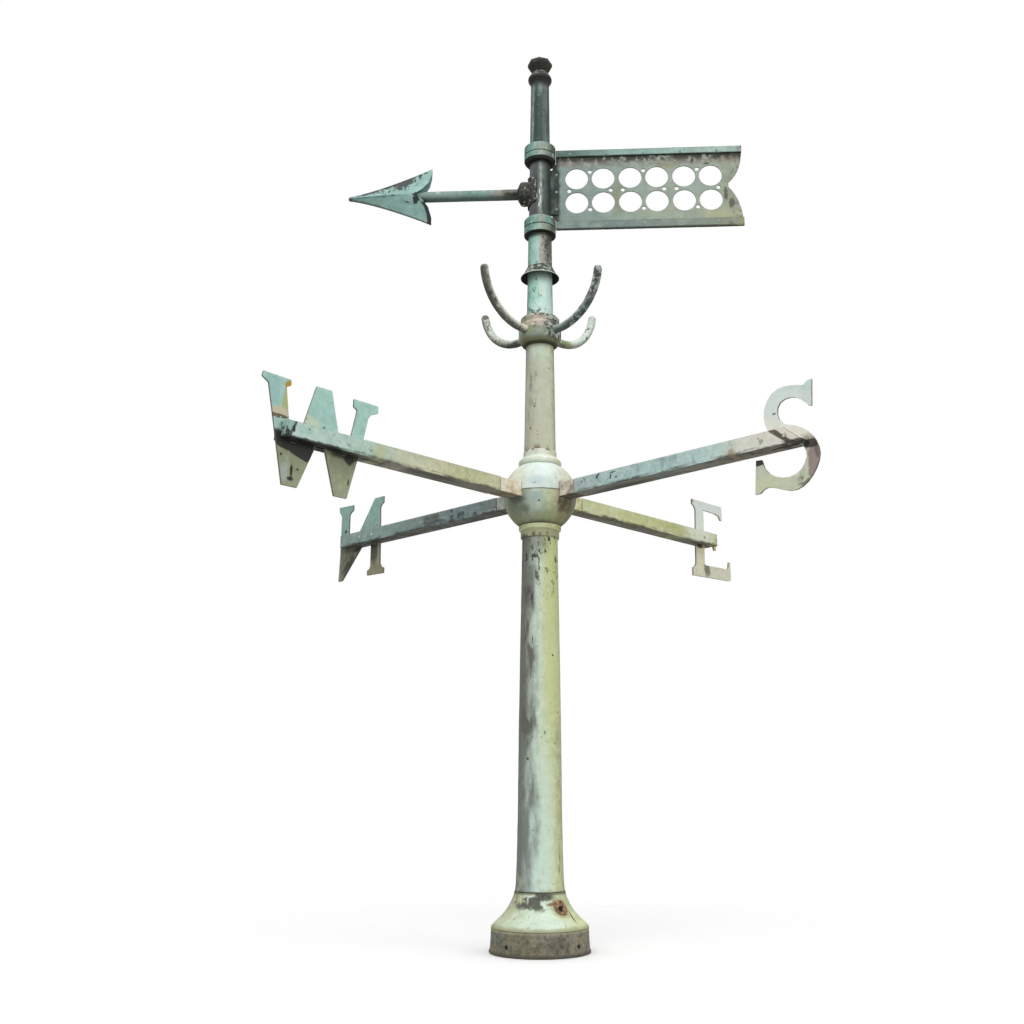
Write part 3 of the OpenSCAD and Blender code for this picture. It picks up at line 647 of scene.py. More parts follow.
def ball_upper_patina():
    p = pale_patina("ball_upper_patina", 6, [
        (0.0, "#b3b8a8"), (0.22, "#cfd5c6"), (0.45, "#d6e3dd"), (0.65, "#d3e0d9"), (0.85, "#c6c9b2"),
        (1.0, "#a8a48e")], dark=0.2, yellow=0.25, specks=0.05)
    p.blot(on_round(95, 219, 1222), (0.042, 0.042, 0.024), 0.35, 22, "#b6c8cb", 0.75, soft=0.9)
    p.layer(p.both(p.mark(on_round(98, 216, 1214), (0.026, 0.026, 0.008), 0.5, 90), p.spots(120, 0.25)),
            "#23231f")
    p.blot(on_round(98, 214, 1212), (0.007, 0.007, 0.0016), 0.3, 90, "#23231f")
    p.blot(on_round(80, 190, 1232), (0.03, 0.03, 0.03), 0.5, 26, "#cfcdb8", 0.5, soft=0.9)
    p.blot(on_round(92, 258, 1208), (0.014, 0.02, 0.030), 0.6, 50, "#8f7d5e", 0.6)
    p.layer(p.both(p.mark(on_round(88, 262, 1225), (0.03, 0.03, 0.03), 0.5, 40), p.patches(70, 0.5, 0.6)),
            "#7c7866", 0.6)
    p.layer(p.heights(1.1990, 1.1972, raggedness=0.0008, scale=90), "#3f4038", 0.85)
    # painted shade in corners, with crevice dirt, from ambient occlusion
    p.layer(p.crevice(0.016), "#6b624c", 0.6)
    return p.done(0.45)


def ball_lower_patina():
    # In these tones the darker zones on the left and right are painted shadows cast by the arms, and the pale
    # front between them is a painted lit strip.
    p = pale_patina("ball_lower_patina", 7, [
        (0.0, "#87907c"), (0.12, "#78836f"), (0.25, "#8a9481"), (0.34, "#adb9a6"), (0.45, "#b8c8ba"),
        (0.62, "#bcc69f"), (0.75, "#aaa482"), (0.84, "#6f6650"), (1.0, "#7b7966")],
        dark=0.5, yellow=0.5, specks=0.06)
    p.blot(on_round(97, 215, 1176), (0.030, 0.030, 0.020), 0.4, 45, "#9fb6b2", 0.7, soft=0.8)
    p.layer(p.both(p.mark(on_round(99, 218, 1188), (0.03, 0.03, 0.008), 0.4, 60), p.spots(110, 0.3)),
            "#25261f", 0.95)
    p.layer(p.heights(1.158, 1.118, raggedness=0.012, scale=25), "#83875c", 0.65)
    # darker at the bottom, where the ball meets the neck ring: dark tarnish and painted shade
    p.layer(p.heights(1.124, 1.106, raggedness=0.008, scale=25), "#4a4934", 0.85)
    # dirt that runs down from the south socket; under the west socket the grey-green blots are a painted
    # shadow of the socket
    p.blot(on_round(99, 257, 1166), (0.010, 0.010, 0.024), 0.6, 45, "#54432f", 0.8, soft=0.6)
    p.blot(on_round(90, 264, 1150), (0.020, 0.020, 0.032), 0.6, 40, "#5a4c36", 0.7, soft=0.8)
    # painted shadow of the west socket on the ball
    p.blot(on_round(96, 186, 1170), (0.034, 0.034, 0.012), 0.5, 40, "#4c5249", 0.75, soft=0.7)
    p.blot(on_round(88, 196, 1145), (0.024, 0.024, 0.022), 0.6, 30, "#5f6d64", 0.65, soft=0.9)
    p.blot(on_round(90, 180, 1158), (0.035, 0.035, 0.030), 0.5, 35, "#6a7568", 0.5, soft=0.9)
    p.layer(p.heights(1.1950, 1.1968, raggedness=0.0008, scale=90), "#3f4038", 0.85)
    p.blot(on_round(98, 222, 1163), (0.004, 0.004, 0.004), 0.2, 90, "#201f1b", raise_by=-0.6)
    # painted shade in corners, with crevice dirt, from ambient occlusion
    p.layer(p.crevice(0.022), "#38342a", 0.75)
    return p.done(0.5)


def collar_foot_patina():
    p = pale_patina("ball_collar_patina", 8, [
        (0.0, "#b4bba8"), (0.3, "#d0d8c9"), (0.6, "#d8dfcf"), (1.0, "#bcc0a0")],
        dark=0.3, yellow=0.3, specks=0.06)
    p.layer(p.both(p.heights(1.316, 1.326, raggedness=0.004), p.patches(60, 0.48, 0.58)), "#5f4530", 0.9)
    # painted shade in corners, with crevice dirt, from ambient occlusion
    p.layer(p.crevice(0.010), "#857a58", 0.5)
    return p.done(0.45)


def upper_column_patina():
    p = pale_patina("upper_column_patina", 9, [
        (0.0, "#7d8279"), (0.10, "#8f948a"), (0.20, "#b0b7a4"), (0.34, "#bcc6b0"), (0.5, "#c3d0be"),
        (0.68, "#c3d0bb"), (0.84, "#c0c4aa"), (1.0, "#989b7e")], dark=0.4, yellow=0.35, specks=0.05)
    p.layer(p.both(p.heights(1.47, 1.36, raggedness=0.03, scale=15), p.facing(out_from_axis(235), 0.3, 0.9)),
            "#c6c9ab", 0.5)
    p.layer(p.both(p.heights(1.63, 1.57, raggedness=0.02, scale=15), p.facing(out_from_axis(200), 0.2, 0.8)),
            "#b0ac98", 0.55)
    streaky = p.patches(60, 0.42, 0.62, stretch=(1, 1, 0.3))
    p.layer(p.both(p.mark(on_round(43, 196, 1545), (0.014, 0.014, 0.022), 0.5, 50), streaky), "#74776e", 0.85)
    p.layer(p.both(p.mark(on_round(43, 190, 1515), (0.014, 0.014, 0.030), 0.5, 50), streaky), "#7d8078", 0.75)
    p.layer(p.both(p.mark(on_round(44, 186, 1440), (0.016, 0.016, 0.06), 0.5, 50), streaky), "#868b84", 0.65)
    for bearing, z, wide in ((203, 1452, 3), (206, 1460, 2), (208, 1470, 2), (248, 1576, 2), (262, 1568, 3.5),
                             (262, 1575, 2), (213, 1378, 1.6), (215, 1366, 1.6), (216, 1355, 1.6), (186, 1388,
                                                                                                    2.5)):
        p.blot(on_round(43.5, bearing, z), (wide * MM, wide * MM, wide * 1.5 * MM), 0.3, 200, "#2a2a24", 0.95,
               raise_by=-0.6)
    p.layer(p.both(p.heights(1.345, 1.328, raggedness=0.005), p.patches(45, 0.45, 0.58)), "#6f5438", 0.85)
    p.layer(p.heights(1.625, 1.642, raggedness=0.006), "#7d7a5a", 0.7)
    return p.done(0.5)


def socket_patina(name, seed, tones, root):
    p = Patina(name, roughness=0.85, seed=seed)
    p.tones(p.noise(24, detail=6), tones)
    p.mottle(0.4, 70)
    p.flecks(40, 0.58, 0.70, "#a9845f", 0.5)
    p.flecks(75, 0.66, 0.72, "#3e3528", 0.85, raise_by=-0.5)
    # darker underside in the root colour: dark tarnish and painted shade
    p.layer(p.under(0.2, 0.7), root, 0.85)
    # painted shade in corners, with crevice dirt, from ambient occlusion
    p.layer(p.crevice(0.022), "#5a452f", 0.8)
    p.grain(180, 0.7)
    return p.done(0.7)


# Arms: how far out a stop lies, in metres, and its colour there
ARM_TONES = {
    "east": [(0.14, "#c3c69c"), (0.35, "#c0c491"), (0.58, "#bcc08c"), (0.68, "#d0d6c0"), (0.76, "#d6dcc8"),
             (0.82, "#c9cba2")],
    "north": [(0.14, "#6b7573"), (0.30, "#718283"), (0.45, "#768581"), (0.58, "#7d918d"), (0.75, "#869c96"),
              (0.90, "#80988f")],
    "west": [(0.18, "#bfc29c"), (0.30, "#b9bd93"), (0.44, "#c3c3a3"), (0.52, "#b3bfa3"), (0.62, "#b2cabc"),
             (0.85, "#b5cec6")],
    "south": [(0.14, "#a3b1ad"), (0.26, "#abc3c0"), (0.45, "#a9c4c1"), (0.60, "#b9d0ca"), (0.68, "#d8d7ca"),
              (0.85, "#dcdace")],
}
ARM_OUT = {"east": (1, 0, 0), "north": (0, 1, 0), "west": (-1, 0, 0), "south": (0, -1, 0)}
ARM_Z = (low("arm_east").z + high("arm_east").z) / 2
ARM_TOP, ARM_FOOT = high("arm_east").z, low("arm_east").z


def arm_patina(side, seed, stain):
    p = Patina("arm_patina_" + side, roughness=0.82, seed=seed)
    reach = p.along(ARM_OUT[side], p.place)
    wobble = p.wobble(9, 0.14)
    p.tones(p.math("ADD", reach, wobble, clamp=True), ARM_TONES[side])
    grain = tuple(0.15 if c else 1 for c in ARM_OUT[side])
    p.flecks(40, 0.54, 0.68, "#d9e2d3", 0.3, stretch=grain)
    p.flecks(30, 0.58, 0.70, "#8f926a", 0.35, stretch=grain)
    p.runs(70, 0.58, 0.70, 4, "#8e9a90", 0.35)
    p.mottle(0.2, 60)
    # the undersides are darker, as dark tarnish and painted shade, and the dirt creeps up from the lower
    # edges in ragged flakes
    foot = p.heights(ARM_FOOT + 0.010, ARM_FOOT + 0.001, raggedness=0.006, scale=55)
    p.layer(p.both(foot, p.patches(65, 0.40, 0.55, stretch=grain)), "#2d2c25", 0.9, rough=0.6)
    under = p.facing((0, 0, -1), 0.5, 0.8, 0.2)
    p.layer(under, "#706f64", 0.9)
    p.layer(p.both(under, p.patches(26, 0.45, 0.62, stretch=grain)), "#45453b", 0.85)
    p.layer(p.both(under, p.patches(60, 0.60, 0.68, stretch=grain)), "#9ca196", 0.6)
    p.flecks(80, 0.66, 0.69, "#302f29", 0.9, raise_by=-0.5)
    p.layer(p.heights(ARM_TOP - 0.003, ARM_TOP, raggedness=0.002, scale=80), "#dfe5d6", 0.4)
    stain(p, under)
    # painted shade in corners, with crevice dirt, from ambient occlusion
    p.layer(p.crevice(0.015), "#3c3a2e", 0.7)
    p.grain(240, 0.5)
    return p.done(0.6)


def west_stains(p, under):
    p.blot((-0.585, 0, ARM_Z), (0.035, 0.06, 0.03), 0.6, 45, "#b8b47c", 0.5)
    p.blot((-0.52, 0, ARM_Z), (0.06, 0.06, 0.03), 0.5, 45, "#ccc6b0", 0.4)
    # the outer end: a dark slanted line behind the cap, black patches on the cap and a black underside, which
    # is dark tarnish and painted shade
    reach = p.along((-1, 0, 0), p.place)
    slant = p.math("MULTIPLY_ADD", p.math("SUBTRACT", p.along((0, 0, 1), p.place), ARM_Z), 0.45,
                   p.math("ADD", reach, p.wobble(70, 0.010)))
    line = p.math("ABSOLUTE", p.math("SUBTRACT", slant, 0.836))
    p.layer(p.ramp(line, 0.0055, 0.003), "#232722", 0.95, rough=0.55)
    end = p.ramp(slant, 0.834, 0.840)
    p.layer(end, "#8fb0a6", 0.8)
    p.layer(p.both(end, p.patches(44, 0.54, 0.57)), "#1f221e", 0.95, rough=0.55)
    # black underside: dark tarnish and painted shade
    p.layer(p.both(under, p.ramp(reach, 0.62, 0.72)), "#24241f", 0.9)
    foot = p.heights(ARM_FOOT + 0.007, ARM_FOOT + 0.003, raggedness=0.005, scale=50)
    p.layer(p.both(foot, p.ramp(reach, 0.66, 0.72)), "#1d1e1a", 0.9)
    p.blot((-0.832, -0.03, ARM_Z), (0.006, 0.02, 0.012), 0.4, 60, "#1f221e", 0.95)


def north_stains(p, under):
    root = p.mark((0, 0.30, ARM_Z), (0.06, 0.26, 0.04), 0.4, 25)
    p.layer(p.both(root, p.patches(34, 0.52, 0.60)), "#34383a", 0.85, rough=0.6)
    p.blot((0, 0.43, ARM_Z), (0.06, 0.05, 0.03), 0.6, 40, "#3c3e38", 0.7)
    # darker underside: dark tarnish and painted shade
    p.layer(p.both(under, p.patches(30, 0.4, 0.6)), "#3f4540", 0.7)


def south_stains(p, under):
    p.layer(p.both(p.mark((0, -0.25, ARM_Z + 0.01), (0.06, 0.14, 0.03), 0.4, 30), p.patches(70, 0.58, 0.62)),
            "#22231f", 0.95)
    p.layer(p.both(p.mark((0, -0.45, ARM_Z), (0.06, 0.20, 0.03), 0.4, 30),
                   p.patches(50, 0.50, 0.62, stretch=(1, 1, 0.4))), "#7e9594", 0.6)
    p.blot((0, -0.655, ARM_Z - 0.012), (0.06, 0.02, 0.012), 0.5, 60, "#9a7f5c", 0.7)
    # the slanted end: a dark flaked line behind the pale cap, and black below it, which is dark tarnish and
    # painted shade
    reach = p.along((0, -1, 0), p.place)
    slant = p.math("MULTIPLY_ADD", p.math("SUBTRACT", p.along((0, 0, 1), p.place), ARM_TOP), 1.25,
                   p.math("ADD", reach, p.wobble(60, 0.012)))
    line = p.math("ABSOLUTE", p.math("SUBTRACT", slant, 0.768))
    p.layer(p.ramp(line, 0.012, 0.007), "#4a4238", 0.95, rough=0.6)
    p.layer(p.both(p.ramp(line, 0.010, 0.006), p.patches(70, 0.50, 0.58)), "#7f7463", 0.8)
    p.layer(p.ramp(slant, 0.779, 0.783), "#ded8cb", 0.92)
    p.layer(p.both(p.ramp(slant, 0.779, 0.783), p.patches(60, 0.58, 0.64)), "#a99c8b", 0.6)
    p.layer(p.both(p.heights(ARM_FOOT + 0.008, ARM_FOOT + 0.003, raggedness=0.004, scale=50),
                   p.ramp(reach, 0.79, 0.81)), "#24221d", 0.9)
    # black underside: dark tarnish and painted shade
    p.layer(p.both(under, p.ramp(reach, 0.76, 0.80)), "#2b2a24", 0.85)
    p.layer(p.both(under, p.ramp(reach, 0.50, 0.55), p.patches(40, 0.42, 0.56)), "#85806c", 0.6)


def east_stains(p, under):
    p.blot((0.60, 0, ARM_Z), (0.09, 0.06, 0.03), 0.6, 35, "#abad70", 0.5)
    p.blot((0.80, 0, ARM_FOOT), (0.02, 0.06, 0.012), 0.5, 60, "#8b8a52", 0.7)
    # darker underside: dark tarnish and painted shade
    p.layer(p.both(under, p.patches(20, 0.4, 0.6)), "#5c5a40", 0.6)


def letter_patina(side, seed, upper, lower, stains):
    """Above the arm the plates are paler and bluer; below it they are stained by what runs off it, and the
    marks just under the arm are a painted shadow of the arm.
    """
    p = Patina("letter_patina_" + side, roughness=0.82, seed=seed)
    out = ARM_OUT[side]
    plate = (abs(out[1]), abs(out[0]), 0)
    z = p.math("ADD", p.along((0, 0, 1), p.place), p.wobble(22, 0.03))
    p.tones(p.ramp(z, 1.07, 1.325), [
        (0.0, lower[0]), (0.30, lower[1]), (0.43, lower[2]), (0.52, upper[0]), (0.75, upper[1]),
        (1.0, upper[2])])
    p.runs(40, 0.55, 0.68, 4, "#d5e0d4", 0.25)
    p.flecks(20, 0.56, 0.72, "#a7aa86", 0.25)
    p.mottle(0.15, 60)
    stains(p)
    flat = p.math("ABSOLUTE", p.along(plate, p.normal))
    p.layer(p.ramp(flat, 0.8, 0.5), "#6c5f4f", 0.75)
    p.flecks(100, 0.69, 0.72, "#3a382f", 0.85, raise_by=-0.4)
    # painted shade in corners, with crevice dirt, from ambient occlusion
    p.layer(p.crevice(0.018), "#2c2b24", 0.75)
    p.grain(240, 0.45)
    return p.done(0.55)


def west_letter_stains(p):
    # above the arm, on the outer stroke: an orange spot, a run below it and a pale band with a brown line
    p.blot((-0.880, 0, 1.29), (0.030, 0.02, 0.05), 0.4, 40, "#8fb5b3", 0.6)
    p.blot((-0.836, 0, 1.303), (0.013, 0.02, 0.017), 0.3, 60, "#b08a1e", 0.95, soft=0.3)
    p.blot((-0.842, 0, 1.262), (0.014, 0.02, 0.045), 0.4, 50, "#a9b07a", 0.9, soft=0.4)
    p.blot((-0.856, 0, 1.240), (0.030, 0.02, 0.013), 0.5, 50, "#c8bba0", 0.9, soft=0.3)
    p.layer(p.both(p.mark((-0.858, 0, 1.228), (0.030, 0.02, 0.006), 0.5, 60, soft=0.3),
                   p.patches(80, 0.40, 0.50)), "#5f4c3a", 0.9)
    # the middle peak: a cream patch at its foot
    p.blot((-0.775, 0, 1.232), (0.036, 0.02, 0.020), 0.5, 45, "#c8ccb2", 0.7)
    p.layer(p.both(p.mark((-0.795, 0, 1.234), (0.016, 0.02, 0.02), 0.5, 60), p.patches(90, 0.50, 0.56)),
            "#6a4e34", 0.8)
    p.blot((-0.735, 0, 1.226), (0.004, 0.02, 0.006), 0.3, 60, "#3c372a", 0.9)
    # below the arm, black: a painted shadow cast by the arm, its lower border slanting
    reach = p.along((-1, 0, 0), p.place)
    z = p.math("ADD", p.along((0, 0, 1), p.place), p.wobble(60, 0.014))
    border = p.math("SUBTRACT", z, p.math("MULTIPLY_ADD", reach, 0.30, 0.901))
    black = p.both(p.ramp(border, -0.001, 0.002), p.ramp(reach, 0.757, 0.765), p.ramp(z, 1.20, 1.19))
    p.layer(black, "#1d1f1a", 0.97, rough=0.55)
    # a darker band under the inner part of the arm: painted shadow of the arm
    p.layer(p.both(p.ramp(z, 1.160, 1.170), p.ramp(z, 1.20, 1.19), p.ramp(reach, 0.725, 0.70)), "#34382b",
            0.85)
    # dark blot right under the arm: painted shadow of the arm
    p.blot((-0.660, 0, 1.166), (0.020, 0.02, 0.016), 0.4, 60, "#262820", 0.9, soft=0.4)
    for x, z, wide, high in ((-0.848, 1.140, 0.004, 0.004), (-0.802, 1.112, 0.004, 0.004),
                             (-0.819, 1.106, 0.005, 0.022), (-0.822, 1.087, 0.012, 0.007),
                             (-0.660, 1.11, 0.003, 0.010)):
        p.blot((x, 0, z), (wide, 0.02, high), 0.4, 90, "#23251d", 0.95)
    p.blot((-0.838, 0, 1.100), (0.012, 0.02, 0.028), 0.5, 60, "#a3b5b4", 0.6)


def north_letter_stains(p):
    p.layer(p.both(p.mark((0, 0.86, 1.10), (0.02, 0.06, 0.06), 0.5, 40), p.patches(25, 0.36, 0.5)), "#3e3d35",
            0.9)
    p.blot((0, 0.74, 1.14), (0.02, 0.03, 0.035), 0.5, 40, "#4b4b3a", 0.8)
    p.blot((0, 0.895, 1.235), (0.02, 0.008, 0.008), 0.3, 80, "#2b2a25", 0.9)
    p.blot((0, 0.75, 1.085), (0.02, 0.03, 0.012), 0.5, 60, "#8c8a6c", 0.7)
    # a dark band right under the arm: painted shadow of the arm
    p.blot((0, 0.80, 1.165), (0.02, 0.09, 0.012), 0.5, 40, "#2d2e28", 0.85)


def south_letter_stains(p):
    p.blot((0, -0.790, 1.27), (0.02, 0.075, 0.07), 0.5, 20, "#dbe4df", 0.75)
    p.blot((0, -0.762, 1.215), (0.02, 0.05, 0.05), 0.5, 25, "#e2e4d8", 0.75)
    p.blot((0, -0.863, 1.125), (0.02, 0.020, 0.050), 0.5, 45, "#94807d", 0.9, soft=0.3)
    p.blot((0, -0.872, 1.160), (0.02, 0.010, 0.030), 0.4, 50, "#6a6158", 0.85, soft=0.4)
    # a dark band right under the arm: painted shadow of the arm
    p.blot((0, -0.858, 1.172), (0.02, 0.024, 0.013), 0.4, 60, "#3b342d", 0.95, soft=0.25)
    p.layer(p.both(p.mark((0, -0.835, 1.088), (0.02, 0.024, 0.022), 0.6, 60), p.patches(60, 0.42, 0.52)),
            "#6b6a58", 0.85)
    # a dark band right under the arm: painted shadow of the arm
    p.blot((0, -0.715, 1.155), (0.02, 0.022, 0.012), 0.3, 60, "#33322a", 0.95, soft=0.2)
    p.blot((0, -0.733, 1.10), (0.02, 0.05, 0.03), 0.6, 40, "#c9cfae", 0.7)
    p.blot((0, -0.765, 1.263), (0.02, 0.007, 0.003), 0.3, 60, "#4a4a42", 0.9)


def east_letter_stains(p):
    # a dark band right under the arm: painted shadow of the arm
    p.blot((0.752, 0, 1.172), (0.026, 0.02, 0.010), 0.4, 60, "#3f3728", 0.95)
    p.blot((0.79, 0, 1.098), (0.020, 0.02, 0.030), 0.5, 50, "#6b6557", 0.85)
    p.blot((0.755, 0, 1.11), (0.024, 0.02, 0.045), 0.5, 40, "#d9d8b9", 0.8)
    p.blot((0.72, 0, 1.318), (0.008, 0.02, 0.009), 0.5, 60, "#6a5a48", 0.7)


def hook_collar_patina():
    p = Patina("collar_patina", roughness=0.8, seed=20)
    # the olive-grey tone on the left of these tones is a painted shadow
    p.tones(p.side(0.4, 16), [
        (0.0, "#8f8f78"), (0.2, "#a39d8b"), (0.38, "#c0b7a6"), (0.58, "#bbb0a2"), (0.75, "#979a8e"),
        (1.0, "#6b7269")])
    p.mottle(0.35, 45)
    p.flecks(24, 0.54, 0.68, "#aeb29c", 0.5)
    low_half = p.heights(1.697, 1.683, raggedness=0.008)
    p.layer(low_half, "#7f9385", 0.85)
    p.layer(p.both(low_half, p.patches(34, 0.50, 0.60)), "#9fae9d", 0.6)
    p.layer(p.both(low_half, p.facing(out_from_axis(180), 0.1, 0.7, 0.5), p.patches(40, 0.42, 0.56)),
            "#8c8b5e", 0.7)
    # flaked and speckled towards the south side
    south = p.facing(out_from_axis(280), 0.55, 0.85, 0.4)
    p.layer(p.both(south, p.patches(30, 0.42, 0.52)), "#c8cdc2", 0.7)
    p.layer(p.both(south, p.patches(62, 0.47, 0.54)), "#33342e", 0.9)
    # a speckled belt between the halves, and a flaked upper edge
    p.layer(p.both(p.heights(1.682, 1.690, 1.697, 1.704, raggedness=0.005), p.patches(80, 0.53, 0.58)),
            "#3c3d33", 0.9)
    p.layer(p.both(p.heights(1.715, 1.728, raggedness=0.003), p.patches(60, 0.50, 0.57)), "#4a463b", 0.85)
    p.flecks(55, 0.66, 0.70, "#3d3a30", 0.85, raise_by=-0.4)
    p.flecks(80, 0.64, 0.69, "#d5d8cb", 0.6)
    p.layer(p.heights(1.664, 1.652, raggedness=0.004), "#6d6c48", 0.85)
    p.layer(p.heights(1.652, 1.644, raggedness=0.003), "#2a2a1f", 0.9)
    # painted shade in corners, with crevice dirt, from ambient occlusion
    p.layer(p.crevice(0.012), "#24241e", 0.7)
    p.grain(220, 0.5)
    return p.done(0.6)


def rod_patina(side, seed, outer, inner, under, inward, stains):
    """A rod is paler on its upper inside and darker outside and below; the darker underside is dark tarnish
    and painted shade.
    """
    p = Patina("rod_patina_" + side, roughness=0.78, seed=seed)
    faces = p.math("MULTIPLY_ADD", p.along(inward, p.normal), 0.5, 0.5)
    p.tones(p.math("ADD", faces, p.wobble(26, 0.4)), [
        (0.12, under), (0.45, outer), (0.72, inner)])
    p.mottle(0.35, 80)
    p.flecks(48, 0.58, 0.64, "#2f302b", 0.85, rough=0.6, raise_by=-0.4)
    p.flecks(60, 0.60, 0.68, "#c6cdbf", 0.6)
    stains(p)
    p.grain(240, 0.5)
    return p.done(0.6)


def lower_stem_patina():
    p = pale_patina("stem_patina", 30, [
        (0.0, "#74958a"), (0.12, "#8dbdae"), (0.3, "#a5cfc2"), (0.5, "#b9dcd2"), (0.7, "#bfdcd6"),
        (0.9, "#b0ccc6"), (1.0, "#8aa39a")], dark=0.3, yellow=0.2, specks=0.07)
    p.layer(p.both(p.heights(1.80, 1.75, raggedness=0.03, scale=20), p.facing(out_from_axis(235), 0.2, 0.9)),
            "#d3e6e0", 0.6)
    p.layer(p.heights(1.825, 1.86, raggedness=0.012), "#7d8a76", 0.75)
    p.layer(p.both(p.heights(1.765, 1.735, raggedness=0.008), p.patches(80, 0.50, 0.56),
                   p.facing(out_from_axis(180), -0.2, 0.4)), "#3a3a31", 0.9)
    p.layer(p.both(p.facing(out_from_axis(178), 0.6, 0.85, 0.3),
                   p.patches(90, 0.56, 0.61, stretch=(1, 1, 0.5))),
            "#3f5650", 0.8)
    p.blot(on_round(38, 224, 1815), (0.004, 0.004, 0.034), 0.5, 50, "#d6d7b4", 0.7)
    p.blot(on_round(38, 228, 1790), (0.0025, 0.0025, 0.003), 0.3, 60, "#2a2a24", 0.9)
    return p.done(0.5)


def upper_stem_patina():
    p = pale_patina("upper_stem_patina", 31, [
        (0.0, "#6f8a7d"), (0.10, "#86ad9f"), (0.24, "#94c0b3"), (0.40, "#a9c3b8"), (0.52, "#b0aea4"),
        (0.66, "#9c968c"), (0.8, "#6f716a"), (1.0, "#565c55")], dark=0.4, yellow=0.15, specks=0.08)
    right = p.facing(out_from_axis(280), 0.45, 0.85, 0.6, 30)
    p.layer(p.both(right, p.patches(50, 0.46, 0.56)), "#3d3f39", 0.9, raise_by=-0.3)
    p.layer(p.both(right, p.patches(60, 0.56, 0.64)), "#b5b3a5", 0.6)
    p.blot(on_round(36, 207, 1897), (0.006, 0.006, 0.005), 0.4, 90, "#4f938f", 0.8)
    p.blot(on_round(36, 236, 1978), (0.004, 0.004, 0.003), 0.3, 90, "#22231f", 0.9)
    p.layer(p.both(p.heights(1.974, 1.990, raggedness=0.007), p.patches(35, 0.40, 0.5)), "#2b2c27", 0.9)
    return p.done(0.5)


def skirt_patina():
    p = Patina("skirt_dark", roughness=0.7, metallic=0.1, seed=32)
    p.tones(p.noise(30), [(0.3, "#262a26"), (0.5, "#3b433d"), (0.7, "#5b675e")])
    p.mottle(0.4, 70)
    p.layer(p.both(p.over(0.1, 0.5), p.patches(80, 0.50, 0.58)), "#aeb5a8", 0.8)
    p.layer(p.both(p.heights(1.8585, 1.8605, 1.8625, 1.8655, raggedness=0.001), p.over(-0.5, 0.0)), "#b9c4b9",
            0.75)
    # black underside: dark tarnish and painted shade
    p.layer(p.under(0.1, 0.4, 0.2), "#151714", 0.97)
    p.grain(220, 0.5)
    return p.done(0.6)


def ring_patina(name, seed, foot, head):
    """A bearing ring between two heights: teal, black underneath as dark tarnish and painted shade, with a
    dirty joint line and a painted highlight along its head.
    """
    p = Patina(name, roughness=0.78, seed=seed)
    p.tones(p.side(0.30, 22), [
        (0.0, "#4f6f66"), (0.16, "#688f83"), (0.32, "#7a9d91"), (0.48, "#93a59c"), (0.60, "#8d948a"),
        (0.76, "#747d6e"), (0.9, "#51594c"), (1.0, "#414a40")])
    p.mottle(0.3, 55)
    p.runs(60, 0.56, 0.66, 3, "#b1c2b9", 0.5)
    p.flecks(30, 0.56, 0.64, "#5f9a8b", 0.55)
    p.flecks(45, 0.58, 0.68, "#454f49", 0.75)
    # black underside: dark tarnish and painted shade
    p.layer(p.under(0.15, 0.6, 0.4), "#191d19", 0.95)
    p.layer(p.heights(foot + 0.0035, foot + 0.0005, raggedness=0.0015, scale=120), "#1c1f1a", 0.9)
    # pale line along the top edge: painted highlight
    p.layer(p.heights(head - 0.002, head, raggedness=0.002, scale=120), "#a0b3a8", 0.4)
    p.flecks(110, 0.66, 0.71, "#2c2e29", 0.8, raise_by=-0.4)
    # painted shade in corners, with crevice dirt, from ambient occlusion
    p.layer(p.crevice(0.012), "#1f221d", 0.8)
    p.grain(240, 0.4)
    return p.done(0.5)


def sleeve_patina():
    p = Patina("sleeve_dark", roughness=0.6, metallic=0.15, seed=36)
    # the light strip in the middle of these tones is a painted highlight
    p.tones(p.side(0.22, 14), [
        (0.0, "#68686a"), (0.15, "#58595b"), (0.34, "#434745"), (0.46, "#656e68"), (0.53, "#8b968d"),
        (0.62, "#66726b"), (0.75, "#47534c"), (0.88, "#2e3832"), (1.0, "#39433c")])
    p.mottle(0.35, 45)
    p.runs(30, 0.54, 0.62, 6, "#333633", 0.75)
    p.runs(42, 0.62, 0.68, 9, "#7f8780", 0.6)
    for bearing, z, high in ((221, 2128, 14), (226, 2100, 20), (219, 2084, 12), (230, 2150, 10),
                             (207, 2112, 12)):
        p.blot(on_round(33, bearing, z), (0.0022, 0.0022, high * MM), 0.4, 120, "#d5d9d0", 0.9)
    p.layer(p.heights(2.218, 2.230, raggedness=0.004), "#252824", 0.7)
    # painted shade in corners, with crevice dirt, from ambient occlusion
    p.layer(p.crevice(0.02), "#1d1f1b", 0.8)
    p.grain(220, 0.4)
    return p.done(0.5)


